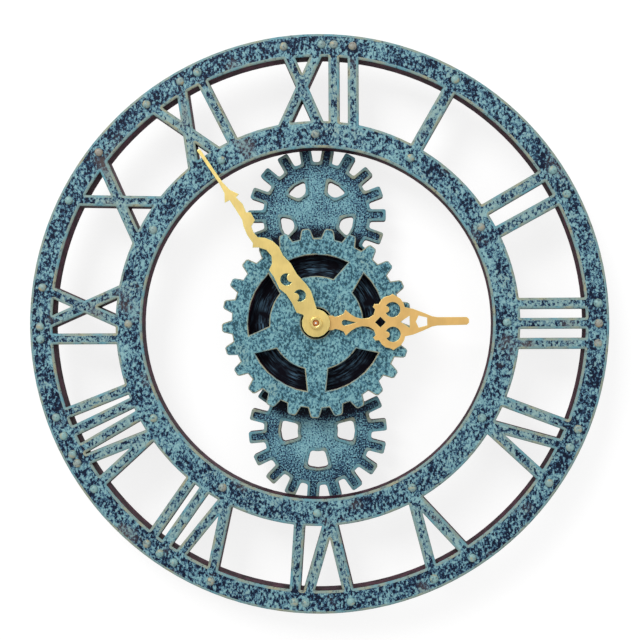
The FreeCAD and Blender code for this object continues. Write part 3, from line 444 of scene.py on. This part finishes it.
def stud_paint(name, colors):
    """Green paint on the studs, browned on some of them, with gold patches that are partly rubbed-through
    wear and partly painted highlight.
    """
    finish = Finish(name, roughness=0.42, Specular_IOR_Level=0.5)
    gold_wear_and_highlight = ((finish.noise(2.6) - 0.53) * 6.0).within()
    browned = ((finish.noise(26.0) - 0.50) * 7.0).within()
    grime = ((0.46 - finish.noise(1.3)) * 8.0).within()
    color = finish.mixed(browned * 0.7, paint(132, 172, 172), paint(158, 134, 116))
    # Gold patches: partly rubbed-through wear, partly a painted highlight on the domes.
    color = finish.mixed(gold_wear_and_highlight * 0.6, color, paint(186, 156, 96))
    color = finish.mixed(grime * 0.6, color, colors.navy)
    return finish.coat(color, finish.noise(1.2), 0.08, 0.7)


# Finishes of the metal and plastic pieces


def satin_metal(name, color, roughness=0.36, metallic=0.75):
    """Rolled sheet metal with a faint grain and soft cloudy tone."""
    finish = Finish(name, roughness, metallic)
    grain = finish.noise(0.25, place=finish.stretched((1.0, 1.0, 0.08)))
    tone = finish.noise(9.0)
    dark = tuple(part * 0.80 for part in color)
    mix = finish.mixed(((tone - 0.5) * 2.4 + grain * 0.5 + 0.2).within(), dark, color)
    return finish.coat(mix, grain, 0.01, 0.5, roughness + (grain - 0.5) * 0.2)


def moulded_plastic(name, color, roughness=0.5):
    """Fine spark-eroded grain of moulded plastic."""
    finish = Finish(name, roughness)
    grain = finish.noise(0.35, 3.0, 0.6)
    flow = finish.noise(14.0)
    pale = tuple(min(1.0, part * 1.35 + 0.004) for part in color)
    mix = finish.mixed(((flow - 0.5) * 1.6 + 0.35).within(), color, pale)
    return finish.coat(mix, grain, 0.02, 0.5, roughness + (grain - 0.5) * 0.2)


def cell_jacket(name):
    """Printed film round the cell: dark body and a copper band at the nub end."""
    finish = Finish(name, roughness=0.3, metallic=0.6)
    band = ((finish.along("X") - COPPER_START) * 8.0).within()
    scratches = finish.noise(0.6, 3.0, 0.6, finish.stretched((0.2, 1.0, 1.0)))
    body = finish.mixed(scratches * 0.4, paint(28, 30, 34), paint(64, 66, 72))
    color = finish.mixed(band, body, paint(186, 120, 66))
    return finish.coat(color, scratches, 0.01, 0.4, 0.26 + scratches * 0.16)


def wound_copper(name):
    """Enamelled wire laid turn by turn along the coil, with painted shade in the grooves between turns and a
    painted highlight on their crowns.
    """
    finish = Finish(name, roughness=0.3, metallic=0.85)
    turns = finish.join("SINE", finish.along("X") * (math.tau / WIRE_PITCH))
    # Painted shade and highlight: each turn is dark at its grooves and bright at its crown.
    color = finish.mixed((turns * 0.5 + 0.5).within(), paint(110, 48, 22), paint(204, 112, 60))
    return finish.coat(color, turns, 0.04, 0.8)


def lacquered_board(name):
    """Green lacquer with faint copper tracks under it."""
    finish = Finish(name, roughness=0.35)
    sheet = finish.noise(2.2, 0.0, place=finish.stretched((1.0, 1.0, 0.3)))
    track = ((0.04 - (sheet - 0.5) * (sheet - 0.5) * 30.0) * 40.0).within()
    color = finish.mixed(track, paint(20, 74, 40), paint(60, 128, 70))
    return finish.coat(color, track, 0.03, 0.5)


# Tools for shaping


def only(*pieces):
    """Select these pieces and nothing else."""
    if bpy.context.mode != "OBJECT":
        bpy.ops.object.mode_set(mode="OBJECT")
    bpy.ops.object.select_all(action="DESELECT")
    for piece in pieces:
        piece.select_set(True)
    bpy.context.view_layer.objects.active = pieces[0]


def start_edit(piece):
    """Edit one piece with all of it selected."""
    only(piece)
    bpy.ops.object.mode_set(mode="EDIT")
    bpy.ops.mesh.select_all(action="SELECT")


def end_edit():
    """Back to whole pieces."""
    bpy.ops.object.mode_set(mode="OBJECT")


def new_piece(name, add, **settings):
    """New piece from one of Blender's basic shapes, turned to face -Y unless told."""
    settings.setdefault("rotation", (math.pi / 2, 0, 0))
    bpy.ops.object.select_all(action="DESELECT")
    add(**settings)
    piece = bpy.context.object
    piece.name = name
    bpy.ops.object.transform_apply(location=True, rotation=True, scale=True)
    return piece


def clean_copy(node, name):
    """New piece with a node's shape, its loose triangles merged into whole faces."""
    piece = bpy.data.objects.new(name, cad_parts[node].data.copy())
    bpy.context.scene.collection.objects.link(piece)
    piece.data.name = name
    piece.data.materials.clear()
    start_edit(piece)
    bpy.ops.mesh.customdata_custom_splitnormals_clear()
    bpy.ops.mesh.remove_doubles(threshold=MERGE_GAP)
    bpy.ops.mesh.dissolve_limited(angle_limit=FLAT_ANGLE)
    end_edit()
    return piece


def round_edges(piece, width, segments):
    """Round the sharp edges of a piece."""
    only(piece)
    shape = bmesh.new()
    shape.from_mesh(piece.data)
    weights = shape.edges.layers.float.new(WEIGHT_NAME)
    for edge in shape.edges:
        edge[weights] = 1 if edge.calc_face_angle(0) > CORNER_ANGLE else 0
    shape.to_mesh(piece.data)
    shape.free()
    bpy.ops.object.modifier_add(type="BEVEL")
    rounding = piece.modifiers[-1]
    rounding.limit_method = "WEIGHT"
    rounding.offset_type = "OFFSET"
    rounding.width = width
    rounding.segments = segments
    rounding.use_clamp_overlap = False
    rounding.loop_slide = False
    bpy.ops.object.modifier_apply(modifier=rounding.name)


def flat_faces(shape, level, facing):
    """Flat faces of a shape at a level that look along Y (1) or against it (-1)."""
    return {face for face in shape.faces
            if face.normal.y * facing > FLAT_SHARE
            and abs(face.calc_center_median().y - level) < LEVEL_GAP}


def outline_steps(flats):
    """For each outline corner of some flat faces, the next corner on the outline."""
    onward = {}
    for face in flats:
        for loop in face.loops:
            if not all(other in flats for other in loop.edge.link_faces):
                onward[loop.vert] = loop.link_loop_next.vert
    return onward


def outline_insets(onward, normal):
    """For each outline corner, the way in that keeps both of its edges parallel."""
    inward = {first: normal.cross(second.co - first.co).normalized() for first, second in onward.items()}
    insets = {}
    for first, second in onward.items():
        before, after = inward[first], inward[second]
        insets[second] = (before + after) / (1 + before.dot(after))
    return insets


def close_with_roll(shape, onward, normal, width, segments, depth=None):
    """Close open outlines with a rounded edge, as deep as it is wide unless told, and a flat face."""
    insets = outline_insets(onward, normal)
    depth = depth or width
    for corner in insets:
        corner.co -= normal * depth
    near = {corner: corner for corner in insets}
    for step in range(segments):
        angle = math.pi / 2 * (step + 1) / segments
        far = {}
        for corner, inset in insets.items():
            far[corner] = shape.verts.new(corner.co + inset * width * (1 - math.cos(angle))
                                          + normal * depth * math.sin(angle))
        for first, second in onward.items():
            shape.faces.new((near[first], near[second], far[second], far[first]))
        near = far
    rim = [shape.edges.get((near[first], near[second])) for first, second in onward.items()]
    bmesh.ops.triangle_fill(shape, edges=rim, use_beauty=True, use_dissolve=False, normal=normal)


def keep_shape(shape, piece):
    """Turn all faces outwards and put the shape into the piece."""
    bmesh.ops.recalc_face_normals(shape, faces=shape.faces)
    shape.to_mesh(piece.data)
    shape.free()


def roll_edge(piece, level, width, segments, facing=-1):
    """Roll the edge of the flat faces at a level over by a quarter round."""
    shape = bmesh.new()
    shape.from_mesh(piece.data)
    flats = flat_faces(shape, level, facing)
    onward = outline_steps(flats)
    bmesh.ops.delete(shape, geom=list(flats), context="FACES")
    close_with_roll(shape, onward, Vector((0, facing, 0)), width, segments)
    keep_shape(shape, piece)


def turn_at(before, corner, after):
    """Angle by which an outline turns at a corner."""
    return (corner - before).angle(after - corner)


def rounded(outline, radius):
    """Outline with its sharp corners rounded, and without the slight bends that lie too near them."""
    count = len(outline)
    turns = [turn_at(outline[at - 1], outline[at], outline[(at + 1) % count]) for at in range(count)]
    kept = []
    for at, place in enumerate(outline):
        beside = ((at - 1) % count, (at + 1) % count)
        crowded = any(turns[other] > CORNER_ANGLE and (outline[other] - place).length < 2 * radius
                      for other in beside)
        if turns[at] > SLIGHT_ANGLE or not crowded:
            kept.append(place)
    result = []
    for at, place in enumerate(kept):
        before, after = kept[at - 1], kept[(at + 1) % len(kept)]
        if turn_at(before, place, after) < CORNER_ANGLE:
            result.append(place)
            continue
        start = place + (before - place).normalized() * min(radius, NARROW_SHARE * (before - place).length)
        end = place + (after - place).normalized() * min(radius, NARROW_SHARE * (after - place).length)
        for step in range(CORNER_STEPS + 1):
            share = step / CORNER_STEPS
            result.append(start.lerp(place, share).lerp(place.lerp(end, share), share))
    return result


def outlines_at(piece, level, facing):
    """Outlines of the flat faces of a piece at a level, each a list of places."""
    shape = bmesh.new()
    shape.from_mesh(piece.data)
    steps = outline_steps(flat_faces(shape, level, facing))
    outlines = []
    while steps:
        first, place = steps.popitem()
        outline = [first.co.copy()]
        while place is not first:
            outline.append(place.co.copy())
            place = steps.pop(place)
        if facing > 0:
            outline.reverse()
        outlines.append(outline)
    shape.free()
    return outlines


def width_of(outline):
    """Width of an outline along X."""
    return max(place.x for place in outline) - min(place.x for place in outline)


def add_board(shape, outlines, front, back, corner, width, segments, depth=None, opening_corner=None):
    """Add a flat board with rounded corners, other ones in its openings where told, and a rolled edge."""
    onward = {}
    rear_edges = []
    for outline in outlines:
        is_opening = width_of(outline) < OPENING_WIDTH
        places = rounded(outline, opening_corner if opening_corner and is_opening else corner)
        tops = [shape.verts.new((place.x, front, place.z)) for place in places]
        feet = [shape.verts.new((place.x, back, place.z)) for place in places]
        for at in range(len(places)):
            beyond = (at + 1) % len(places)
            onward[tops[at]] = tops[beyond]
            shape.faces.new((feet[at], feet[beyond], tops[beyond], tops[at]))
            rear_edges.append(shape.edges.get((feet[at], feet[beyond])))
    bmesh.ops.triangle_fill(shape, edges=rear_edges, use_beauty=True, use_dissolve=False, normal=-FRONT)
    close_with_roll(shape, onward, FRONT, width, segments, depth)


def smooth(piece, degrees=35):
    """Smooth shading over edges that turn by less than some degrees, with the flat faces kept flat."""
    only(piece)
    bpy.ops.object.shade_smooth_by_angle(angle=math.radians(degrees))
    bpy.ops.object.modifier_add(type="WEIGHTED_NORMAL")
    weighting = piece.modifiers[-1]
    weighting.keep_sharp = True
    bpy.ops.object.modifier_apply(modifier=weighting.name)


def finish_faces(piece, materials, choose):
    """Give each face the finish that a rule picks by its centre and its normal."""
    for material in materials:
        piece.data.materials.append(material)
    for face in piece.data.polygons:
        face.material_index = choose(face.center, face.normal)


def settle(piece, body, slot, *nodes):
    """The piece rides on a body and stands for the nodes. The slot is not used."""
    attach(piece, body)
    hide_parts(*nodes)


def dress_nodes(material, *nodes):
    """Nodes that keep their shape get a finish on their objects."""
    for node in nodes:
        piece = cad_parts[node]
        if not piece.material_slots:
            raise RuntimeError(node + " has no material slot")
        for place in piece.material_slots:
            place.link = "OBJECT"
            place.material = material


def board_rule(face_level):
    """Rule for a board: 0 face, 1 rounded edge, 2 wall, 3 back."""
    def choose(center, normal):
        if normal.y > FLAT_SHARE:
            return 3
        if abs(normal.y) < WALL_SHARE:
            return 2
        if normal.y < -FLAT_SHARE and abs(center.y - face_level) < LEVEL_GAP:
            return 0
        return 1
    return choose


class ClockStep:
    """What all operators of the clock share."""
    bl_options = {"REGISTER", "UNDO"}

    def execute(self, context):
        self.make(context.scene.clock_sizes, context.scene.clock_colors)
        return {"FINISHED"}


class CLOCK_OT_numeral_ring(ClockStep, bpy.types.Operator):
    """Dial board with rounded windows and rubbed edges"""
    bl_idname = "clock.numeral_ring"
    bl_label = "Numeral ring"

    def make(self, sizes, colors):
        ring = clean_copy("dial_ring", "numeral_ring")
        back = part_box("dial_ring")[1].y
        shape = bmesh.new()
        add_board(shape, outlines_at(ring, DIAL_FACE, -1), DIAL_FACE, back, sizes.window_corner,
                  sizes.board_edge, 4, sizes.board_edge_depth)
        keep_shape(shape, ring)
        smooth(ring)
        finish_faces(ring, [
            hammered_paint("hammered_ring", colors, shift=-0.043, wave=1.15, green=0.13, clouds=0.32,
                           relief=0.34, on_ring=True),
            rubbed_and_highlit_edge("ring_edge_wear_and_highlight", colors, share=0.45),
            stained_wall("stained_ring_wall", colors),
            raw_back("ring_back"),
        ], board_rule(DIAL_FACE))
        settle(ring, "root", "dial_board", "dial_ring")


class CLOCK_OT_studs(ClockStep, bpy.types.Operator):
    """Domed studs on both rims of the dial board"""
    bl_idname = "clock.studs"
    bl_label = "Studs"

    def places(self, node):
        """Centre of each stud on the face of the board, found by its top."""
        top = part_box(node)[0].y
        found = []
        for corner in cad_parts[node].data.vertices:
            place = Vector((corner.co.x, DIAL_FACE, corner.co.z))
            is_new = all((place - other).length > STUD_GAP for other in found)
            if corner.co.y - top < LEVEL_GAP and is_new:
                found.append(place)
        return sorted(found, key=lambda place: math.atan2(place.z, place.x))

    def stud(self, radius, height):
        """One dome at the origin, cut flat where it meets the board."""
        dome = new_piece("stud_pattern", bpy.ops.mesh.primitive_uv_sphere_add, radius=radius,
                         segments=STUD_SIDES, ring_count=STUD_RINGS)
        start_edit(dome)
        bpy.ops.mesh.bisect(plane_co=(0, 0, 0), plane_no=(0, 1, 0), use_fill=True, clear_outer=True)
        bpy.ops.mesh.select_all(action="SELECT")
        bpy.ops.transform.resize(value=(1, height / radius, 1), center_override=(0, 0, 0))
        end_edit()
        return dome

    def make(self, sizes, colors):
        chance = random.Random(RANDOM_SEED)
        material = stud_paint("painted_stud", colors)
        for node, name in (("outer_rivets", "outer_studs"), ("inner_rivets", "inner_studs")):
            height = DIAL_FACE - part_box(node)[0].y
            pattern = self.stud(sizes.stud_radius, height)
            copies = []
            for place in self.places(node):
                copy = bpy.data.objects.new("stud", pattern.data.copy())
                bpy.context.scene.collection.objects.link(copy)
                grow = chance.uniform(*STUD_SHARES)
                spin = Matrix.Rotation(chance.uniform(0, math.tau), 4, FRONT)
                copy.data.transform(Matrix.Translation(place) @ Matrix.Scale(grow, 4) @ spin)
                copies.append(copy)
            bpy.data.objects.remove(pattern)
            only(*copies)
            bpy.ops.object.join()
            studs = bpy.context.object
            studs.name = name
            smooth(studs, degrees=50)
            finish_faces(studs, [material], lambda center, normal: 0)
            settle(studs, "root", "rivet", node)


class CLOCK_OT_center_gear(ClockStep, bpy.types.Operator):
    """Large toothed board with five windows"""
    bl_idname = "clock.center_gear"
    bl_label = "Centre gear"

    def make(self, sizes, colors):
        gear = clean_copy("center_gear", "large_gear")
        roll_edge(gear, CENTER_FACE, sizes.gear_edge, 3)
        smooth(gear)
        finish_faces(gear, [
            hammered_paint("hammered_large_gear", colors, shift=-0.025, wave=0.98, green=0.08, clouds=0.22,
                           relief=0.25, on_ring=False),
            rubbed_and_highlit_edge("gear_edge_wear_and_highlight", colors, share=0.75),
            stained_wall("stained_gear_wall", colors),
            raw_back("gear_back"),
        ], board_rule(CENTER_FACE))
        settle(gear, "root", "gear_board", "center_gear")


class CLOCK_OT_small_gears(ClockStep, bpy.types.Operator):
    """Two smaller toothed boards with raised rims"""
    bl_idname = "clock.small_gears"
    bl_label = "Small gears"

    def open_window(self, outline, middle):
        """Move the inner side of a window in and its flanks apart, where an outline is a window's."""
        opened = []
        for place in outline:
            arm = place - middle
            turn = math.atan2(arm.z, arm.x)
            axis = min(WINDOW_AXES, key=lambda one: abs(math.remainder(turn - one, math.tau)))
            off = math.remainder(turn - axis, math.tau)
            reach = Vector((arm.x, 0, arm.z)).length
            if not WINDOW_INNER < reach < WINDOW_OUTER or abs(off) > WINDOW_SPAN:
                return outline
            inner = reach < WINDOW_MIDDLE
            reach -= WINDOW_GROWTH if inner else 0
            turn = axis + off * (WINDOW_INNER_SPREAD if inner else WINDOW_OUTER_SPREAD)
            opened.append(middle + Vector((reach * math.cos(turn), arm.y, reach * math.sin(turn))))
        return opened

    def make(self, sizes, colors):
        field = gear_field("hammered_small_gear", colors)
        rim = rubbed_and_highlit_edge("rubbed_rim", colors, share=0.3, tone=0.88)
        wall = stained_wall("stained_rim_wall", colors)
        back = raw_back("small_gear_back")
        field_level = SMALL_FACE + RIM_HEIGHT

        def choose(center, normal):
            if normal.y > FLAT_SHARE:
                return 3
            if abs(normal.y) < WALL_SHARE:
                return 2
            return 0 if center.y > field_level - RIM_HEIGHT / 10 else 1

        for node, name in (("upper_gear", "upper_small_gear"), ("lower_gear", "lower_small_gear")):
            gear = clean_copy(node, name)
            low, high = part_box(node)
            plate = outlines_at(gear, high.y, 1)
            rims = outlines_at(gear, SMALL_FACE, -1)
            if node == "lower_gear":
                middle = Vector((0, 0, low.z + high.x))
                plate = [self.open_window(outline, middle) for outline in plate]
                rims = [self.open_window(outline, middle) for outline in rims]
            shape = bmesh.new()
            rim_foot = field_level + RIM_HEIGHT / 5
            add_board(shape, plate, field_level, high.y, sizes.tooth_corner, PLATE_EDGE, 1,
                      opening_corner=sizes.opening_corner)
            add_board(shape, rims, SMALL_FACE, rim_foot, sizes.tooth_corner, sizes.rim_edge, 3,
                      opening_corner=sizes.opening_corner)
            keep_shape(shape, gear)
            smooth(gear)
            finish_faces(gear, [field, rim, wall, back], choose)
            settle(gear, "root", "gear_board", node)


class CLOCK_OT_backing(ClockStep, bpy.types.Operator):
    """Dark disc behind the windows of the large gear, and the screws from behind"""
    bl_idname = "clock.backing"
    bl_label = "Backing disc and screws"

    def make(self, sizes, colors):
        dress_nodes(brushed_night("brushed_night"), "backing_disc")
        dress_nodes(satin_metal("zinc_screw", paint(186, 188, 190), roughness=0.4), "frame_screws")


class CLOCK_OT_hands(ClockStep, bpy.types.Operator):
    """Pressed hour and minute hands, with a painted highlight in paler gold on their rounded edges"""
    bl_idname = "clock.hands"
    bl_label = "Hands"

    def make(self, sizes, colors):
        for node, name, body, color in (("hour_hand", "hour_pointer", "hour", colors.copper_gold),
                                        ("minute_hand", "minute_pointer", "minute", colors.brass)):
            hand = clean_copy(node, name)
            roll_edge(hand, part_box(node)[0].y, sizes.hand_edge, 2)
            smooth(hand)
            # Painted highlight: the rounded edges get a paler, brighter gold than the faces.
            bright = tuple(min(1.0, part * 1.15 + 0.08) for part in color)
            finish_faces(hand, [
                satin_metal(name + "_face", tuple(color)),
                satin_metal(name + "_edge", bright, roughness=0.4),
            ], lambda center, normal: 0 if abs(normal.y) > FLAT_SHARE else 1)
            settle(hand, body, "hand_metal", node)


class CLOCK_OT_hand_nut(ClockStep, bpy.types.Operator):
    """Round nut that holds the minute hand"""
    bl_idname = "clock.hand_nut"
    bl_label = "Hand nut"

    def make(self, sizes, colors):
        low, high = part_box("hand_nut")
        radius = high.x
        height = high.y - low.y
        center = (0, high.y, 0)
        nut = new_piece("round_nut", bpy.ops.mesh.primitive_circle_add, vertices=ROUND_SIDES, radius=radius,
                        location=center, fill_type="NGON")
        start_edit(nut)
        for rise, grow in NUT_PROFILE:
            bpy.ops.mesh.extrude_region_move(TRANSFORM_OT_translate={"value": (0, -rise * height, 0)})
            bpy.ops.transform.resize(value=(grow, 1, grow), center_override=center)
        bpy.ops.mesh.select_all(action="SELECT")
        bpy.ops.mesh.normals_make_consistent(inside=False)
        end_edit()
        smooth(nut, degrees=60)
        hollow = radius * HOLLOW_SHARE
        finish_faces(nut, [
            satin_metal("turned_brass", tuple(colors.brass), roughness=0.28),
            satin_metal("copper_hollow", paint(176, 92, 38), roughness=0.5, metallic=0.2),
        ], lambda middle, normal: 1 if math.hypot(middle.x, middle.z) < hollow else 0)
        settle(nut, "minute", "brass", "hand_nut")


class CLOCK_OT_stem(ClockStep, bpy.types.Operator):
    """Gasket, washer, shaft nut and arbors round the hand axis"""
    bl_idname = "clock.stem"
    bl_label = "Stem fittings"

    def make(self, sizes, colors):
        brass = satin_metal("stem_brass", tuple(colors.brass), roughness=0.35)
        arbor = satin_metal("arbor_brass", paint(206, 130, 62), roughness=0.5, metallic=0.3)
        dress_nodes(brass, "shaft_washer", "shaft_nut")
        dress_nodes(arbor, "minute_arbor")
        dress_nodes(moulded_plastic("gasket_rubber", paint(30, 30, 30), roughness=0.75), "rubber_gasket")


class CLOCK_OT_housing(ClockStep, bpy.types.Operator):
    """Black housing of the clockwork, with the hanger loop and the setting knob"""
    bl_idname = "clock.housing"
    bl_label = "Clockwork housing"

    def make(self, sizes, colors):
        plastic = moulded_plastic("housing_plastic", tuple(colors.black_plastic), roughness=0.45)
        for node, name, body, slot in (("movement_case", "housing_rear", "root", "movement_plastic"),
                                       ("movement_cover", "housing_front", "root", "movement_plastic"),
                                       ("setting_knob", "thumb_wheel", "setting", "knob_plastic")):
            piece = clean_copy(node, name)
            roll_edge(piece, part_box(node)[1].y, sizes.plastic_edge, 2, facing=1)
            smooth(piece, degrees=30)
            finish_faces(piece, [plastic], lambda center, normal: 0)
            settle(piece, body, slot, node)


class CLOCK_OT_cell(ClockStep, bpy.types.Operator):
    """Round cell with its nub, and the two contact leaves"""
    bl_idname = "clock.cell"
    bl_label = "Cell and contacts"

    def make(self, sizes, colors):
        low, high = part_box("battery")
        radius = (high.z - low.z) / 2
        center = (low + high) / 2
        cell = new_piece("round_cell", bpy.ops.mesh.primitive_cylinder_add, vertices=ROUND_SIDES,
                         radius=radius, depth=high.x - low.x - NUB_LENGTH, rotation=(0, math.pi / 2, 0),
                         location=(center.x - NUB_LENGTH / 2, center.y, center.z))
        round_edges(cell, CELL_EDGE, 3)
        start_edit(cell)
        bpy.ops.mesh.select_mode(type="FACE")
        bpy.ops.mesh.select_all(action="DESELECT")
        shape = bmesh.from_edit_mesh(cell.data)
        for face in shape.faces:
            face.select_set(face.normal.x > FLAT_SHARE and face.calc_area() > (radius / 2) ** 2)
        bmesh.update_edit_mesh(cell.data)
        bpy.ops.mesh.inset(thickness=radius - NUB_RADIUS - CELL_EDGE)
        bpy.ops.mesh.extrude_region_move(TRANSFORM_OT_translate={"value": (NUB_LENGTH, 0, 0)})
        end_edit()
        smooth(cell)
        finish_faces(cell, [
            cell_jacket("cell_jacket"),
            satin_metal("cell_cap", paint(200, 200, 202), roughness=0.3),
        ], lambda middle, normal: 1 if abs(normal.x) > 0.9 else 0)
        settle(cell, "cell", "battery_jacket", "battery")
        spring = satin_metal("contact_steel", paint(190, 192, 196), roughness=0.3)
        dress_nodes(spring, "contact_positive", "contact_negative")


class CLOCK_OT_electronics(ClockStep, bpy.types.Operator):
    """Circuit board, chip, crystal and stepping motor inside the housing"""
    bl_idname = "clock.electronics"
    bl_label = "Electronics"

    def make(self, sizes, colors):
        steel = satin_metal("motor_steel", paint(170, 172, 176), roughness=0.35)
        dress_nodes(steel, "quartz_crystal", "stator", "rotor_magnet")
        frame_plastic = moulded_plastic("frame_plastic", paint(222, 222, 214))
        dress_nodes(frame_plastic, "middle_plate", "coil_bobbin")
        dress_nodes(lacquered_board("board_lacquer"), "circuit_board")
        dress_nodes(moulded_plastic("chip_resin", paint(14, 14, 16), roughness=0.2), "driver_chip")
        dress_nodes(wound_copper("wound_copper"), "coil_winding")


class CLOCK_OT_train(ClockStep, bpy.types.Operator):
    """Wheels of the going train and the motion work"""
    bl_idname = "clock.train"
    bl_label = "Wheels"

    def make(self, sizes, colors):
        ivory = moulded_plastic("wheel_plastic", paint(236, 234, 224), roughness=0.4)
        dress_nodes(ivory, "rotor_pinion", "step_wheel", "second_wheel", "third_wheel", "center_wheel",
                    "minute_wheel", "hour_wheel")


class CLOCK_OT_stage(ClockStep, bpy.types.Operator):
    """White wall, soft lamps and the camera of the photograph"""
    bl_idname = "clock.stage"
    bl_label = "Stage"

    def wall(self):
        """White wall behind the clock that lets light and views from behind pass."""
        wall = new_piece("stage_wall", bpy.ops.mesh.primitive_plane_add, size=WALL_SIZE, location=WALL_PLACE)
        finish = Finish("stage_white")
        finish.tree.nodes.remove(finish.shader)
        direct, gloss, glass = (finish.add("ShaderNodeLightPath", {}, {}, "Is " + kind + " Ray")
                                for kind in ("Camera", "Glossy", "Transmission"))
        behind = finish.add("ShaderNodeNewGeometry", {}, {}, "Backfacing")
        seen = (direct + gloss + glass).within() * (1 - behind)
        matt = finish.add("ShaderNodeBsdfDiffuse", {}, {"Color": (1.0, 1.0, 1.0)}, "BSDF")
        glow = finish.add("ShaderNodeEmission", {}, {
            "Color": (1.0, 1.0, 1.0), "Strength": GLOW_STRENGTH}, "Emission")
        white = finish.add("ShaderNodeMixShader", {}, {0: WALL_GLOW, 1: matt, 2: glow})
        clear = finish.add("ShaderNodeBsdfTransparent", {}, {}, "BSDF")
        both = finish.add("ShaderNodeMixShader", {}, {0: seen, 1: clear, 2: white})
        finish.tree.links.new(both.socket, finish.tree.nodes["Material Output"].inputs["Surface"])
        wall.data.materials.append(finish.material)

    def lamp(self, name, place, size, power):
        """Square lamp that faces the hand axis."""
        light = bpy.data.lights.new(name, "AREA")
        light.size = size
        light.energy = power
        lamp = bpy.data.objects.new(name, light)
        lamp.location = place
        lamp.rotation_euler = (-Vector(place)).to_track_quat("-Z", "Y").to_euler()
        bpy.context.scene.collection.objects.link(lamp)

    def camera(self):
        """Camera at the place and with the aim that the photograph shows."""
        forward = Vector((math.sin(CAMERA_PAN) * math.cos(CAMERA_TILT),
                          math.cos(CAMERA_PAN) * math.cos(CAMERA_TILT), math.sin(CAMERA_TILT)))
        level = Vector((math.cos(CAMERA_PAN), -math.sin(CAMERA_PAN), 0))
        above = level.cross(forward)
        right = level * math.cos(CAMERA_ROLL) + above * math.sin(CAMERA_ROLL)
        up = above * math.cos(CAMERA_ROLL) - level * math.sin(CAMERA_ROLL)
        data = bpy.data.cameras.new("photo_camera")
        data.sensor_width = SENSOR_WIDTH
        data.lens = CAMERA_FOCUS_PIXELS / IMAGE_PIXELS * SENSOR_WIDTH
        data.clip_start = 0.01
        data.clip_end = 10
        camera = bpy.data.objects.new("photo_camera", data)
        turn = Matrix((right, up, -forward)).transposed().to_4x4()
        camera.matrix_world = Matrix.Translation(CAMERA_PLACE) @ turn
        bpy.context.scene.collection.objects.link(camera)
        bpy.context.scene.camera = camera

    def world(self):
        """Even light all round, and white where the camera sees past the wall."""
        world = bpy.data.worlds.new("studio")
        bpy.context.scene.world = world
        world.use_nodes = True
        nodes = world.node_tree.nodes
        links = world.node_tree.links
        path = nodes.new("ShaderNodeLightPath")
        mix = nodes.new("ShaderNodeMixShader")
        soft = nodes["Background"]
        soft.inputs["Color"].default_value = (1, 1, 1, 1)
        soft.inputs["Strength"].default_value = WORLD_STRENGTH
        white = nodes.new("ShaderNodeBackground")
        links.new(path.outputs["Is Camera Ray"], mix.inputs[0])
        links.new(soft.outputs[0], mix.inputs[1])
        links.new(white.outputs[0], mix.inputs[2])
        white.inputs["Color"].default_value = (1, 1, 1, 1)
        links.new(mix.outputs[0], nodes["World Output"].inputs["Surface"])

    def make(self, sizes, colors):
        self.wall()
        for lamp in LAMPS:
            self.lamp(*lamp)
        self.camera()
        self.world()
        bpy.context.scene.view_settings.view_transform = "Standard"


STEPS = (
    CLOCK_OT_numeral_ring,
    CLOCK_OT_studs,
    CLOCK_OT_center_gear,
    CLOCK_OT_small_gears,
    CLOCK_OT_backing,
    CLOCK_OT_hands,
    CLOCK_OT_hand_nut,
    CLOCK_OT_stem,
    CLOCK_OT_housing,
    CLOCK_OT_cell,
    CLOCK_OT_electronics,
    CLOCK_OT_train,
    CLOCK_OT_stage,
)


class CLOCK_PT_panel(bpy.types.Panel):
    """Sidebar panel with the steps, sizes and colours"""
    bl_idname = "CLOCK_PT_panel"
    bl_label = "Skeleton wall clock"
    bl_space_type = "VIEW_3D"
    bl_region_type = "UI"
    bl_category = "Clock"

    def draw(self, context):
        for step in STEPS:
            self.layout.operator(step.bl_idname)
        for group in (context.scene.clock_sizes, context.scene.clock_colors):
            column = self.layout.column()
            for title in group.__annotations__:
                column.prop(group, title)


CLASSES = (ClockSizes, ClockColors, *STEPS, CLOCK_PT_panel)


def register():
    """Make the classes and the scene's settings known."""
    for item in CLASSES:
        bpy.utils.register_class(item)
    bpy.types.Scene.clock_sizes = bpy.props.PointerProperty(type=ClockSizes)
    bpy.types.Scene.clock_colors = bpy.props.PointerProperty(type=ClockColors)


def unregister():
    """Take the settings and the classes away again."""
    del bpy.types.Scene.clock_colors
    del bpy.types.Scene.clock_sizes
    for item in reversed(CLASSES):
        bpy.utils.unregister_class(item)


def main():
    """Make every piece in order."""
    register()
    for step in STEPS:
        group, name = step.bl_idname.split(".")
        getattr(getattr(bpy.ops, group), name)()


if __name__ == "__main__":
    main()
